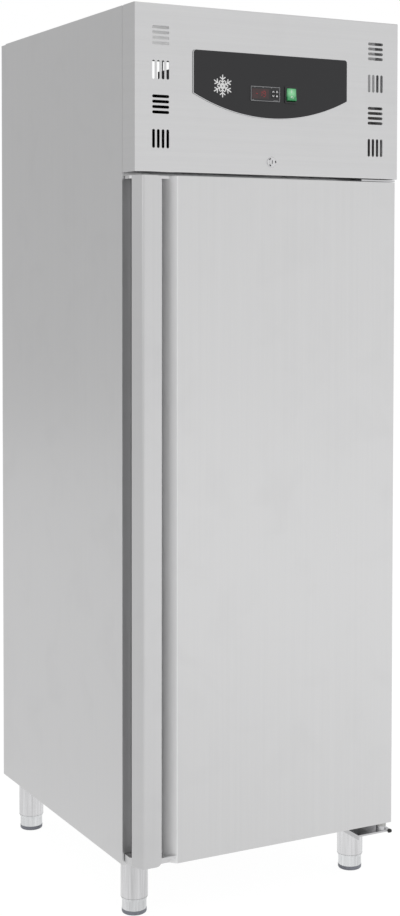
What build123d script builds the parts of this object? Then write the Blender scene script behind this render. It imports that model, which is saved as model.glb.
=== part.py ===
from build123d import *
import math
import os

# One-door upright commercial refrigerator in bent stainless sheet, standing on four screw feet.
# Millimetres. X to the right, Y to the back, Z up. The origin lies on the floor, at the centre
# of the whole object's outline. Depths in the front parts are counted from the front face.

# Cabinet
cabinet_width = 680.0
cabinet_depth = 745.0  # side panel, from its front edge to the back
front_depth = 65.0  # the door and the machine panel stand this far in front of the cabinet
leg_height = 130.0  # floor to the cabinet's underside
door_height = 1522.0
door_gap = 7.0  # below the door, and between the door and the machine panel
housing_height = 364.0  # front panel of the machine compartment
sheet = 1.0  # stainless sheet
wall_thickness = 60.0  # insulated wall, outside to inside
deck_rise = 14.0  # machine deck above the machine panel's lower edge
frame_return = 45.0  # front frame flange of the insulated box
upper_return = 20.0  # front flange beside the machine compartment
back_return = 20.0
cover_thickness = 2.0
cover_setback = 30.0  # the top cover ends this far before the back

# Liner and breaker frame
liner_sheet = 0.8
liner_radius = 15.0
liner_back_ease = 1.0  # back corners are tighter than the front ones by this much
breaker_lip = 3.0
breaker_wall = 2.4
breaker_depth = 25.0

# Door
door_side_gap = 5.0  # door edge to the cabinet's side
gasket_gap = 8.0
door_body_inset = 25.0  # the insulated door body starts this far in from the cabinet's left side
sheet_bend = 2.5  # outside radius of sharp bends
plug_rise = 6.0  # the door's inner face stands this far into the gasket frame
plug_margin = 6.0
plug_corner = 12.0
gasket_margin = 13.0  # chamber edge to the gasket's inner edge
gasket_width = 14.0
gasket_neck = 3.0
gasket_base = 2.0
gasket_head = 3.6
gasket_corner = 4.0
gasket_clearance = 0.4

# Full height handle channel on the door's left edge
grip_slot = 38.0  # open width between the front flange and the door's front face
flange_width = 44.0
side_slant = 16.0
channel_depth = 29.0
slope_run = 26.0
skin_lap = 10.0
fold_radius = 7.0
rear_fold_radius = 2.0
flange_corner = 12.0
cap_height_bottom = 18.0
cap_height_top = 7.0
cap_fit = 0.2
cap_clearance = 2.4  # end cap's back to the cabinet's front

# Door hinge
pivot_inset = 22.0  # hinge pin from the cabinet's right side
pivot_depth = 20.0  # hinge pin behind the front face
hinge_pin_radius = 6.0
hinge_fit = 0.06  # radial clearance of the running pins
bush_radius = 9.0
bush_length = 26.0
pin_end_gap = 4.0  # pin's end to the bush's end
bush_end_gap = 2.0  # pin hole's end to the bush's end
cam_radius = 12.0
bracket_thickness = 4.0
bracket_drop = 13.0  # lower bracket plate below the cabinet's underside
bracket_width = 93.0
bracket_front = 6.0
bracket_edge = 2.0
bracket_lip = 7.0  # turned down along the lower plate's inner edge
bracket_lip_thickness = 2.5
upper_bracket_clearance = 1.5

# Machine panel: a tray hinged along its top rear edge
tray_clearance = 0.6
tray_return = 54.0  # depth of the bottom return
roll_radius = 8.0  # rolled rear edge around the hinge pins
panel_pin_radius = 2.5
eye_radius = 5.5
ear_thickness = 3.0
ear_height = 30.0

# Vents: two columns of four square groups, horizontal and vertical slots by turns
vent_column_x = 278.0
vent_top_drop = 48.0  # machine panel's top to the first group
vent_size = 41.0
vent_pitch = 74.5
vent_groups = 4
slot_width = 6.6
slots_per_group = 4

# Control plate
fascia_half_width = 200.0
fascia_top_drop = 92.5
fascia_side = 96.5
fascia_sagitta = 48.5
fascia_corner = 8.0
fascia_thickness = 1.5

# Controller with four keys
controller_x = -18.0
controller_z_drop = 182.0
controller_width = 76.0
controller_height = 34.0
controller_rise = 1.2
controller_corner = 3.0
controller_body_depth = 58.0
controller_body_margin = 2.5
window_width = 43.0
window_height = 22.0
window_margin = 4.0
window_thickness = 0.8
key_size = 7.0
key_pitch = 9.5
key_travel = 0.6
key_rise = 1.0
key_fit = 0.3
key_lift = 1.0  # keys sit this far above the controller's middle
key_foot = 1.0  # part of a key behind the bezel's face
key_floor_gap = 1.0  # free depth behind a key pressed home

# Rocker switch
switch_x = 48.5
switch_z_drop = 181.0
switch_bezel_width = 32.0
switch_bezel_height = 38.0
switch_bezel_rise = 2.0
switch_corner = 3.0
rocker_width = 23.0
rocker_height = 27.0
rocker_rise = 6.0
rocker_tilt = 7.0  # degrees either side of level
rocker_valley = 1.2
rocker_depth = 13.0
rocker_pivot_depth = 8.0  # pivot behind the rocker's face
rocker_fit = 0.5
switch_body_depth = 26.0
switch_wall = 2.0
rocker_pin_radius = 1.5
rocker_back_run = 3.0  # sloping rear corners, along the depth
rocker_back_drop = 5.0  # and along the height

# Key lock, with a cam that turns down into the door's top
lock_z_rise = 30.0  # above the machine panel's lower edge
lock_head_radius = 12.0
lock_head_rise = 2.5
lock_head_chamfer = 1.0
lock_body_radius = 9.0
lock_plug_radius = 6.5
lock_plug_rise = 0.6
lock_fit = 0.06
lock_body_depth = 14.0
key_slot_length = 8.0
key_slot_width = 1.8
key_slot_depth = 9.0
cam_thickness = 2.5
cam_width = 15.0
cam_length = 45.0
cam_pocket_depth = 14.0
cam_clearance = 1.5

# Feet
foot_side_inset = 51.0
foot_front_inset = 47.5  # behind the cabinet's front edge
foot_back_inset = 66.0
tube_radius = 31.0
tube_wall = 1.5
tube_bottom = 38.0
foot_radius = 28.3
foot_gap = 0.5
foot_taper = 8.0
foot_pad_height = 10.0
foot_pad_step = 0.4
foot_pad_round = 4.0
stem_radius = 12.0
stem_length = 68.0
stem_fit = 0.08
insert_thickness = 12.0
foot_travel = 50.0
leg_flange_thickness = 3.0
bracket_hole_margin = 2.0

# Shelves and their racks
rack_width = 20.0
rack_depth = 11.0
rack_gap = 1.0  # liner to the uprights
rack_sheet = 1.5
rack_front = 70.0  # behind the liner's mouth
rack_back = 60.0  # before the liner's back
rack_slot_pitch = 60.0
rack_slot_height = 8.0
rack_slot_width = 10.0
runner_drop = 22.0
runner_lip = 18.0
runner_sheet = 2.0
shelf_count = 3
shelf_pitch = 320.0
first_shelf = 300.0  # above the chamber's floor
shelf_front_gap = 20.0  # behind the cabinet's front
shelf_wire = 4.0
shelf_rod = 7.0
shelf_wires = 19
shelf_cross_rods = 4
shelf_side_gap = 1.0  # shelf's edge to the runner's wall
shelf_back_gap = 15.0
shelf_wire_sink = 0.4  # thin wires pressed into the rods

# Cooling unit in the chamber
cooler_height = 150.0
cooler_side_gap = 30.0
cooler_depth = 300.0
cooler_back_gap = 16.0
cooler_sheet = 1.2
guard_bar = 3.0  # bars left across the fan opening
evaporator_fin_thickness = 2.0
evaporator_fin_count = 22
evaporator_depth = 130.0
evaporator_margin = 22.0
evaporator_low_gap = 8.0
evaporator_high_gap = 10.0
evaporator_rows = 3
evaporator_tube_radius = 5.0
small_fan_radius = 58.0
small_fan_opening = 63.0
fan_hub_radius = 22.0
fan_blade_thickness = 2.0
fan_width = 18.0
fan_blades = 5
blade_root = 2.0  # blade inside the hub
blade_pitch = 32.0  # degrees
small_motor_radius = 26.0
small_motor_length = 48.0
shaft_radius = 3.0
fan_gap = 2.0
motor_bar_height = 16.0
motor_bar_thickness = 3.0
motor_bar_place = 0.6  # along the motor's length
drip_tray_height = 16.0
drip_gap = 3.0
drip_hanger = 20.0
drain_radius = 9.0  # outlet below the cabinet
drain_pipe_radius = 8.0  # pipe in the wall
drain_wall = 1.5
drain_outlet = 28.0  # length of the outlet that takes a hose
drain_neck = 4.0  # cabinet's underside to the outlet
drain_bend = 16.0
drain_inset = 30.0  # pipe centre before the cabinet's back

# Machine compartment
unit_base_thickness = 2.0
unit_base_edge = 16.0
unit_side_gap = 42.0
unit_front_gap = 46.0
unit_back_gap = 80.0
condenser_width = 330.0
condenser_height = 232.0
condenser_depth = 66.0
condenser_front_gap = 34.0
condenser_fin_count = 26
condenser_fin_thickness = 2.2
condenser_plate = 2.0
condenser_tube_radius = 5.0
condenser_rows = 5
condenser_fin_lift = 6.0  # fins above the base tray
coil_overrun = 2.0  # tubes beyond the outer fins
shroud_depth = 34.0
shroud_sheet = 1.5
baffle_height = 182.0  # side wings of the shroud
baffle_edge_gap = 3.0  # wing to the base tray's side
baffle_pipe_gap = 5.0
large_fan_radius = 98.0
large_fan_opening = 104.0
large_hub_radius = 30.0
large_fan_width = 26.0
large_motor_radius = 38.0
large_motor_length = 60.0
motor_leg_width = 12.0
compressor_radius = 76.0
compressor_height = 196.0
compressor_x = 95.0
compressor_back_gap = 150.0
compressor_foot = 3.0
compressor_lift = 6.0  # shell above its foot plate's underside
compressor_dome = 34.0
compressor_seam = 4.0
compressor_neck = 0.6  # share of the shell's radius
foot_plate_margin = 4.0
foot_plate_share = 0.72  # depth to width
terminal_reach = 28.0
terminal_sink = 0.8
terminal_low = 40.0
terminal_high = 24.0
stub_height = 30.0  # above the seam
stub_root = 6.0
stub_wall = 1.5
grommet_radius = 13.0
grommet_height = 18.0
grommet_spread = 150.0
terminal_box = 52.0
drier_radius = 11.0
drier_length = 110.0
drier_chamfer = 4.0
drier_end = 14.0
drier_end_wall = 1.0
drier_side_gap = 60.0
drier_box_gap = 30.0
pipe_radius = 4.0
pipe_bend = 18.0
liquid_bend = 16.0
suction_bend = 20.0
liquid_run = 50.0
pipe_end_gap = 1.0
suction_radius = 6.0
discharge_side_gap = 62.0  # discharge pipe to the base tray's side
suction_drop = 46.0  # suction pipe behind the compressor's shell
suction_end = 8.0  # below the chamber's roof
stub_length = 8.0
box_width = 130.0
box_depth = 95.0
box_height = 150.0
box_lid = 2.0
box_lid_depth = 14.0
box_side_gap = 8.0
gland_height = 60.0
gland_root = 12.0  # gland inside the box
gland_nut = 8.0
gland_nut_share = 1.35
gland_radius = 11.0
gland_bore = 4.6
gland_length = 26.0
guard_wire = 3.0
guard_frame = 6.0
guard_wires = 15
guard_gap = 6.0
guard_tab_low = 20.0
guard_tab_high = 50.0
cut_margin = 1.0  # cutters reach this far past what they cut

# Places worked out from the sizes above
rocker_lean = math.radians(rocker_tilt)
rocker_swing = (
    (rocker_pivot_depth - rocker_valley / 3) * math.cos(rocker_lean)
    + rocker_height / 2 * math.sin(rocker_lean)
    - rocker_pivot_depth
)
foremost = fascia_thickness + rocker_rise + rocker_swing
half_width = cabinet_width / 2
front_y = -(cabinet_depth + front_depth + foremost) / 2 + foremost
cab_y = front_y + front_depth
back_y = cab_y + cabinet_depth
door_bottom = leg_height + door_gap
door_top = door_bottom + door_height
housing_bottom = door_top + door_gap
top_z = housing_bottom + housing_height
deck_z = housing_bottom + deck_rise
inner_half = half_width - wall_thickness
inner_bottom = leg_height + wall_thickness
inner_top = deck_z - wall_thickness
inner_back = back_y - wall_thickness
liner_front = cab_y + breaker_depth
door_thickness = front_depth - gasket_gap
door_right = half_width - door_side_gap
door_left = -door_right
body_left = -half_width + door_body_inset
flange_left = door_left + side_slant
flange_right = flange_left + flange_width
groove_right = flange_right + grip_slot
slope_end = groove_right - slope_run
floor_front = channel_depth + sheet
floor_back = floor_front + sheet
pivot_x = half_width - pivot_inset
pivot_y = front_y + pivot_depth
tray_back = front_y + front_depth - tray_clearance
panel_pivot_y = tray_back - roll_radius
panel_pivot_z = top_z - roll_radius
lock_z = housing_bottom + lock_z_rise
controller_z = top_z - controller_z_drop
switch_z = top_z - switch_z_drop
fascia_face = front_y - fascia_thickness
cam_y = front_y + lock_body_depth + sheet
bracket_left = half_width - bracket_edge - bracket_width
bracket_right = half_width - bracket_edge
chamber_z = (inner_top + inner_bottom) / 2
foot_places = [
    (name, sx * (half_width - foot_side_inset), y)
    for name, sx, y in (
        ("front_left", -1, cab_y + foot_front_inset),
        ("front_right", 1, cab_y + foot_front_inset),
        ("back_left", -1, back_y - foot_back_inset),
        ("back_right", 1, back_y - foot_back_inset),
    )
]


def block(x0, x1, y0, y1, z0, z1):
    """A box between two corners."""
    size = Box(x1 - x0, y1 - y0, z1 - z0)
    return Pos((x0 + x1) / 2, (y0 + y1) / 2, (z0 + z1) / 2) * size


def rod(x, y, z0, z1, radius):
    """An upright cylinder."""
    return Pos(x, y, (z0 + z1) / 2) * Cylinder(radius, z1 - z0)


def rod_y(x, z, y0, y1, radius):
    """A cylinder along Y."""
    return Pos(x, (y0 + y1) / 2, z) * Rot(90, 0, 0) * Cylinder(radius, y1 - y0)


def rod_x(y, z, x0, x1, radius):
    """A cylinder along X."""
    return Pos((x0 + x1) / 2, y, z) * Rot(0, 90, 0) * Cylinder(radius, x1 - x0)


def plate_xz(sketch, y0, y1):
    """Extrude a sketch drawn in X and Z from y0 back to y1."""
    return extrude(Plane(origin=(0, y1, 0), x_dir=(1, 0, 0), z_dir=(0, -1, 0)) * sketch, y1 - y0)


def column(sketch, z0, z1):
    """Extrude a plan sketch from z0 up to z1."""
    return extrude(Plane(origin=(0, 0, z0)) * sketch, z1 - z0)


def bar_x(sketch, x0, x1):
    """Extrude a sketch drawn in Y and Z from x0 to x1."""
    return extrude(Plane(origin=(x0, 0, 0), x_dir=(0, 1, 0), z_dir=(1, 0, 0)) * sketch, x1 - x0)


def bent_strip(points, thickness, radii):
    """Section of a sheet folded along a line of points, with rounded bends, on the line's left."""
    path = FilletPolyline(*points, radius=radii)
    return make_face(offset(path, amount=thickness, side=Side.LEFT))


def union(shapes):
    """Fuse a list of shapes into one."""
    first, *rest = shapes
    return first.fuse(*rest) if rest else first


def ring_xz(half_x, z0, z1, width, radius, y0, y1):
    """A rectangular frame around the chamber's mouth, with rounded corners."""
    height = z1 - z0
    outer = RectangleRounded(2 * half_x, height, radius)
    inner = RectangleRounded(2 * (half_x - width), height - 2 * width, max(radius - width, 0.5))
    return plate_xz(Pos(0, (z0 + z1) / 2) * (outer - inner), y0, y1)


# Cabinet shell

def side_panel(side):
    """Side panel with its front, rear and machine compartment flanges."""
    x_out = side * half_width
    x_in = side * (half_width - sheet)
    x_wide = side * (half_width - frame_return)
    x_slim = side * (half_width - upper_return)
    top = top_z - cover_thickness
    main = block(min(x_in, x_out), max(x_in, x_out), cab_y, back_y, leg_height, top)
    front = block(min(x_wide, x_out), max(x_wide, x_out), cab_y, cab_y + sheet, leg_height, deck_z)
    flange_top = top_z - ear_height - roll_radius
    upper = block(min(x_slim, x_out), max(x_slim, x_out), cab_y, cab_y + sheet, deck_z, flange_top)
    x_back = side * (half_width - back_return)
    rear = block(min(x_back, x_out), max(x_back, x_out), back_y - sheet, back_y, leg_height, top)
    return union([main, front, upper, rear])


def rear_panel():
    """Flat back sheet behind the insulation."""
    x = half_width - sheet
    return block(-x, x, back_y - 2 * sheet, back_y - sheet, leg_height, deck_z)


def bottom_panel():
    """Underside sheet with the front frame's lower member, and a hole for the drain."""
    x = half_width - sheet
    x_front = half_width - frame_return
    plate = block(-x, x, cab_y + sheet, back_y - 2 * sheet, leg_height, leg_height + sheet)
    member = block(-x_front, x_front, cab_y, cab_y + sheet, leg_height, leg_height + frame_return)
    hole = rod(0, drain_y, leg_height, leg_height + sheet, drain_pipe_radius)
    return plate + member - hole


def machine_deck():
    """Deck above the insulation with the front frame's upper member."""
    x = half_width - sheet
    x_front = half_width - frame_return
    plate = block(-x, x, cab_y + sheet, back_y - 2 * sheet, deck_z - sheet, deck_z)
    member = block(-x_front, x_front, cab_y, cab_y + sheet, deck_z - frame_return, deck_z)
    return plate + member - suction_hole(suction_radius)


def breaker_frame():
    """Plastic profile that joins the outer sheet to the liner around the mouth."""
    edge = wall_thickness - frame_return
    z0 = inner_bottom - edge
    z1 = inner_top + edge
    lip = ring_xz(inner_half + edge, z0, z1, edge, liner_radius + edge, cab_y, cab_y + breaker_lip)
    wall = ring_xz(
        inner_half + breaker_wall,
        inner_bottom - breaker_wall,
        inner_top + breaker_wall,
        breaker_wall,
        liner_radius + breaker_wall,
        cab_y,
        liner_front,
    )
    return lip + wall


def mouth_outline(extra):
    """The chamber's rounded outline in X and Z, larger all round by extra."""
    height = inner_top - inner_bottom + 2 * extra
    return Pos(0, chamber_z) * RectangleRounded(
        2 * (inner_half + extra), height, liner_radius + extra
    )


def chamber_block(extra, y0):
    """The chamber's rounded block, larger all round by extra, from y0 to the back."""
    solid = plate_xz(mouth_outline(extra), y0, inner_back + extra)
    back_edges = solid.faces().sort_by(Axis.Y)[-1].edges()
    return fillet(back_edges, liner_radius + extra - liner_back_ease)


def inner_liner():
    """Seamless stainless liner with rounded corners."""
    outer = chamber_block(liner_sheet, liner_front)
    inner = chamber_block(0, liner_front - 1)
    y0 = inner_back - liner_radius
    spout = rod_y(0, spout_z, y0, inner_back + 2 * liner_sheet, drain_pipe_radius)
    return outer - inner - spout - suction_hole(suction_radius)


def insulation():
    """Foam between the outer sheets and the liner, with the drain pipe's duct."""
    x = half_width - sheet
    foam = block(
        -x, x, cab_y + sheet, back_y - 2 * sheet, leg_height + sheet, deck_z - sheet
    )
    room = chamber_block(liner_sheet, cab_y)
    edge = wall_thickness - frame_return
    lip = plate_xz(mouth_outline(edge), cab_y, cab_y + breaker_lip)
    wall = plate_xz(mouth_outline(breaker_wall), cab_y, liner_front)
    duct = pipe(drain_path(), drain_pipe_radius, drain_bend)
    return foam - room - lip - wall - duct - suction_hole(suction_radius)


def top_cover():
    """Cover sheet over the machine compartment."""
    return block(
        -half_width,
        half_width,
        cab_y + tray_clearance,
        back_y - cover_setback,
        top_z - cover_thickness,
        top_z,
    )


def rear_guard():
    """Wire guard across the open back of the machine compartment: bars, wires and tabs."""
    x = half_width - back_return - guard_gap
    z0 = deck_z + guard_gap
    z1 = top_z - cover_thickness - guard_gap
    y1 = back_y - sheet
    y0 = y1 - guard_frame
    bars = [block(-x, x, y0, y1, z, z + guard_frame) for z in (z0, z1 - guard_frame)]
    for x0 in (-x, x - guard_frame):
        bars.append(block(x0, x0 + guard_frame, y0, y1, z0 + guard_frame, z1 - guard_frame))
    pitch = 2 * x / (guard_wires + 1)
    half = guard_wire / 2
    for i in range(guard_wires):
        wire_x = -x + (i + 1) * pitch
        bars.append(block(wire_x - half, wire_x + half, y0 - guard_wire, y0, z0, z1))
    for tab_x in (-x - guard_gap, x):
        bars.append(block(tab_x, tab_x + guard_gap, y1 - sheet, y1,
                          z0 + guard_tab_low, z0 + guard_tab_high))
    return bars


# Legs and feet

def leg_tube(x, y):
    """Fixed leg tube with its top flange and the threaded insert for the foot's stem."""
    shell = rod(x, y, tube_bottom + foot_gap, leg_height, tube_radius)
    inner = tube_radius - tube_wall
    bore = rod(x, y, tube_bottom + foot_gap, leg_height - leg_flange_thickness, inner)
    insert_bottom = tube_bottom + foot_gap
    insert = rod(x, y, insert_bottom, insert_bottom + insert_thickness, inner)
    hole = rod(x, y, insert_bottom, insert_bottom + insert_thickness, stem_radius + stem_fit)
    return shell - bore + insert - hole


def foot(x, y):
    """Screw foot: pad with a rounded edge, straight part, taper and stem."""
    with BuildSketch(Plane.XZ) as half:
        with BuildLine():
            Line((0, 0), (foot_radius - foot_pad_round, 0))
            TangentArc(
                (foot_radius - foot_pad_round, 0), (foot_radius, foot_pad_round), tangent=(1, 0)
            )
            Polyline(
                (foot_radius, foot_pad_round),
                (foot_radius, foot_pad_height),
                (foot_radius - foot_pad_step, foot_pad_height),
                (foot_radius - foot_pad_step, tube_bottom - foot_taper),
                (tube_radius, tube_bottom),
                (stem_radius, tube_bottom),
                (stem_radius, tube_bottom + stem_length),
                (0, tube_bottom + stem_length),
                (0, 0),
            )
        make_face()
    return Pos(x, y, 0) * revolve(half.sketch, Axis.Z)


# Door

def door_section(inset, rear):
    """Plan outline of the insulated door body, smaller all round by inset."""
    back = front_y + rear
    shoulder = front_y + floor_back + inset
    front = front_y + inset
    slant = inset * math.tan(math.radians(45) / 2)
    points = [
        (door_right - inset, back),
        (door_right - inset, front),
        (groove_right + slant, front),
        (slope_end + slant, shoulder - (floor_back - channel_depth)),
        (slope_end - skin_lap + inset, shoulder - (floor_back - channel_depth)),
        (slope_end - skin_lap + inset, shoulder),
        (body_left + inset, shoulder),
        (body_left + inset, back),
    ]
    return make_face(Polyline(*points, close=True))


def door_outer():
    """The door body's outside, with the bends at the front face rounded."""
    solid = column(door_section(0, door_thickness), door_bottom, door_top)
    corner = solid.edges().filter_by(Axis.Z).group_by(Axis.Y)[0]
    return fillet(corner, sheet_bend)


def door_core():
    """The room for the foam inside the door's sheets."""
    rear = door_thickness - sheet
    return column(door_section(sheet, rear), door_bottom + sheet, door_top - sheet)


def plug_block(inset, y0, y1):
    """Raised inner face of the door, inside the gasket frame."""
    x = inner_half + gasket_margin - plug_margin - inset
    z0 = inner_bottom - gasket_margin + plug_margin + inset
    z1 = inner_top + gasket_margin - plug_margin - inset
    return plate_xz(Pos(0, (z0 + z1) / 2) * RectangleRounded(2 * x, z1 - z0, plug_corner), y0, y1)


def cam_pocket(wider):
    """Pocket in the door's top for the lock's cam, with room for its swing."""
    reach = cam_length + cam_clearance
    tip_drop = reach - (lock_z - door_top)
    swing = math.sqrt(reach**2 - (reach - tip_drop) ** 2) + cam_width / 2
    return block(
        -cam_width / 2 - cam_clearance - wider,
        swing + cam_clearance + wider,
        cam_y - cam_clearance - wider,
        cam_y + cam_thickness + cam_clearance + wider,
        door_top - cam_pocket_depth - wider,
        door_top,
    )


def bush_room(top):
    """Space that a hinge bush takes in the door."""
    if top:
        return rod(pivot_x, pivot_y, door_top - bush_length, door_top, bush_radius)
    return rod(pivot_x, pivot_y, door_bottom, door_bottom + bush_length, bush_radius)


def door_pan():
    """Rear sheet of the door with its raised plug and the left side wall."""
    shell = door_outer() - door_core()
    back = front_y + door_thickness
    rear = block(-half_width, half_width, back - sheet, back, 0, top_z)
    left = block(-half_width, body_left + sheet, front_y + floor_back, back, 0, top_z)
    pan = shell & (rear + left)
    raised = plug_block(0, back - sheet, back + plug_rise)
    hollow = plug_block(sheet, back - sheet, back + plug_rise - sheet)
    return pan + raised - hollow


def door_skin():
    """Front sheet of the door: face, right side, slope, lap, and the top and bottom closures."""
    shell = door_outer() - door_core()
    back = front_y + door_thickness
    rear = block(-half_width, half_width, back - sheet, back, 0, top_z)
    left = block(-half_width, body_left + sheet, front_y + floor_back, back, 0, top_z)
    liner = cam_pocket(sheet) - cam_pocket(0)
    skin = shell - rear - left - cam_pocket(0) + liner
    return skin - bush_room(True) - bush_room(False)


def door_foam():
    """Foam core of the door."""
    back = front_y + door_thickness
    hollow = plug_block(sheet, back - sheet, back + plug_rise - sheet)
    foam = door_core() + hollow
    return foam - cam_pocket(sheet) - bush_room(True) - bush_room(False)


def door_gasket():
    """Magnetic gasket: base strip, narrow neck and magnet head."""
    y0 = front_y + door_thickness
    y1 = cab_y - gasket_clearance
    half = inner_half + gasket_margin + gasket_width
    z0 = inner_bottom - gasket_margin - gasket_width
    z1 = inner_top + gasket_margin + gasket_width
    base = ring_xz(half, z0, z1, gasket_width, gasket_corner, y0, y0 + gasket_base)
    neck = ring_xz(
        half - gasket_neck,
        z0 + gasket_neck,
        z1 - gasket_neck,
        gasket_width - 2 * gasket_neck,
        gasket_neck,
        y0,
        y1 - gasket_head / 2,
    )
    head = ring_xz(half, z0, z1, gasket_width, gasket_corner, y1 - gasket_head, y1)
    return union([base, neck, head])


def handle_channel():
    """Folded channel that makes the full height grip: floor, slanted side and front flange."""
    back = front_y + floor_back
    points = [
        (slope_end - skin_lap, back),
        (door_left, back),
        (flange_left, front_y),
        (flange_right, front_y),
    ]
    section = bent_strip(points, sheet, [rear_fold_radius, fold_radius])
    solid = column(section, door_bottom, door_top)
    x = flange_right - flange_corner
    trims = []
    for z, up in ((door_bottom, 1), (door_top, -1)):
        z_mid = z + up * flange_corner
        corner = block(x, flange_right + cut_margin, front_y - cut_margin, front_y + 2 * sheet,
                       min(z - up, z_mid), max(z - up, z_mid))
        y0 = front_y - 2 * cut_margin
        trims.append(corner - rod_y(x, z_mid, y0, front_y + 3 * sheet, flange_corner))
    return solid - trims[0] - trims[1]


def cap_core():
    """Plan outline inside the channel that an end cap fills."""
    front = front_y + sheet + cap_fit
    back = front_y + floor_front - cap_fit
    left_front = flange_left + sheet + cap_fit
    left_back = door_left + sheet + 2 * cap_fit
    right_front = groove_right - (front - front_y) - cap_fit
    right_back = slope_end - cap_fit
    points = [
        (left_front + fold_radius / 2, front),
        (right_front, front),
        (right_back, front_y + channel_depth - cap_fit),
        (right_back - skin_lap - cap_fit, front_y + channel_depth - cap_fit),
        (right_back - skin_lap - cap_fit, back),
        (left_back + fold_radius, back),
        (left_back + fold_radius / 2, back - fold_radius / 2),
        (left_front, front + fold_radius / 2),
    ]
    return make_face(Polyline(*points, close=True))


def cap_tail():
    """Plan outline of the part of an end cap behind the channel."""
    front = front_y + floor_back + cap_fit
    back = cab_y - cap_clearance
    points = [
        (door_left + fold_radius, front),
        (body_left - cap_fit, front),
        (body_left - cap_fit, back),
        (door_left, back),
        (door_left, front + fold_radius),
    ]
    return make_face(Polyline(*points, close=True))


def handle_cap(top):
    """Moulded end cap: it closes the channel and the recess behind it."""
    height = cap_height_top if top else cap_height_bottom
    z0 = door_top - height if top else door_bottom
    z1 = door_top if top else door_bottom + height
    core = column(cap_core(), z0, z1)
    tail = column(cap_tail(), z0, z1)
    x = flange_right - flange_corner
    z = door_top if top else door_bottom
    up = -1 if top else 1
    corner = block(x, groove_right, front_y, front_y + channel_depth / 2,
                   min(z - up, z + up * flange_corner), max(z - up, z + up * flange_corner))
    z_mid = z + up * flange_corner
    round_edge = rod_y(x, z_mid, front_y, front_y + channel_depth / 2, flange_corner)
    return [core - (corner - round_edge), tail]


def handle_caps():
    """End caps, each a core in the channel and a tail in the recess behind it."""
    return handle_cap(False) + handle_cap(True)


# Door hinges

def lower_bracket():
    """Cranked lower hinge plate with its pin and lower cam; the leg passes through it."""
    top = leg_height
    low = top - bracket_drop
    y_front = front_y + bracket_front
    y_step = cab_y + bracket_thickness * 2
    y_back = cab_y + 2 * foot_front_inset
    points = [(y_back, top), (y_step, top), (y_step, low), (y_front, low)]
    section = make_face(offset(Polyline(*points), amount=bracket_thickness, side=Side.LEFT))
    plate = bar_x(section, bracket_left, bracket_right)
    under = low - bracket_thickness
    lip = block(bracket_left, bracket_left + bracket_lip_thickness, y_front, y_step,
                under - bracket_lip, under)
    _, fx, fy = foot_places[1]
    hole = rod(fx, fy, 0, top, tube_radius + bracket_hole_margin)
    pin = rod(pivot_x, pivot_y, under, door_bottom + bush_length - pin_end_gap, hinge_pin_radius)
    cam = rod(pivot_x, pivot_y, under, low + (door_bottom - low) / 2, cam_radius)
    return plate + lip - hole + pin + cam


def upper_bracket():
    """Angle bracket on the front frame with the upper hinge pin."""
    z0 = door_top + upper_bracket_clearance
    z1 = z0 + bracket_thickness
    y0 = front_y + bracket_front
    plate = block(bracket_left, bracket_right, y0, cab_y, z0, z1)
    flange = block(bracket_left, bracket_right, cab_y - bracket_thickness, cab_y,
                   z0, z1 + frame_return)
    pin = rod(pivot_x, pivot_y, door_top - bush_length + pin_end_gap, z1, hinge_pin_radius)
    return union([plate, flange, pin])


def hinge_bushes():
    """Door bushes: a plain one at the top, one with the upper cam below."""
    low = leg_height - bracket_drop
    cam_bottom = low + (door_bottom - low) / 2 + cap_fit * 2
    bottom = bush_room(False)
    bottom += rod(pivot_x, pivot_y, cam_bottom, door_bottom, cam_radius)
    bottom -= rod(pivot_x, pivot_y, cam_bottom, door_bottom + bush_length - bush_end_gap,
                  hinge_pin_radius + hinge_fit)
    top = bush_room(True)
    top -= rod(pivot_x, pivot_y, door_top - bush_length + bush_end_gap, door_top,
               hinge_pin_radius + hinge_fit)
    return [bottom, top]


# Machine panel and its controls

def fascia_sketch():
    """Control plate outline: straight top and sides, bottom edge one wide arc."""
    top = top_z - fascia_top_drop
    side_z = top - fascia_side
    w = fascia_half_width
    outline = [
        Line((-w, top), (w, top)),
        Line((w, top), (w, side_z)),
        ThreePointArc((w, side_z), (0, side_z - fascia_sagitta), (-w, side_z)),
        Line((-w, side_z), (-w, top)),
    ]
    face = make_face(outline)
    return fillet(face.vertices(), fascia_corner)


def vent_cutters():
    """All vent slots as cutters: horizontal and vertical groups by turns."""
    pitch = (vent_size - slot_width) / (slots_per_group - 1)
    slots = []
    for side in (-1, 1):
        for group in range(vent_groups):
            centre_z = top_z - vent_top_drop - vent_size / 2 - group * vent_pitch
            for i in range(slots_per_group):
                shift = -vent_size / 2 + slot_width / 2 + i * pitch
                slot = SlotOverall(vent_size, slot_width)
                if group % 2 == 0:
                    slots.append(Pos(side * vent_column_x, centre_z + shift) * slot)
                else:
                    turned = Rot(0, 0, 90) * slot
                    slots.append(Pos(side * vent_column_x + shift, centre_z) * turned)
    return [plate_xz(s, front_y - sheet, front_y + 2 * sheet) for s in slots]


def controller_hole(margin, y0, y1):
    """Block behind the controller's bezel."""
    w = controller_width / 2 - margin
    h = controller_height / 2 - margin
    return block(controller_x - w, controller_x + w, y0, y1, controller_z - h, controller_z + h)


def switch_hole(margin, y0, y1):
    """Block behind the switch's bezel."""
    w = switch_bezel_width / 2 - margin
    h = switch_bezel_height / 2 - margin
    return block(switch_x - w, switch_x + w, y0, y1, switch_z - h, switch_z + h)


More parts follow.
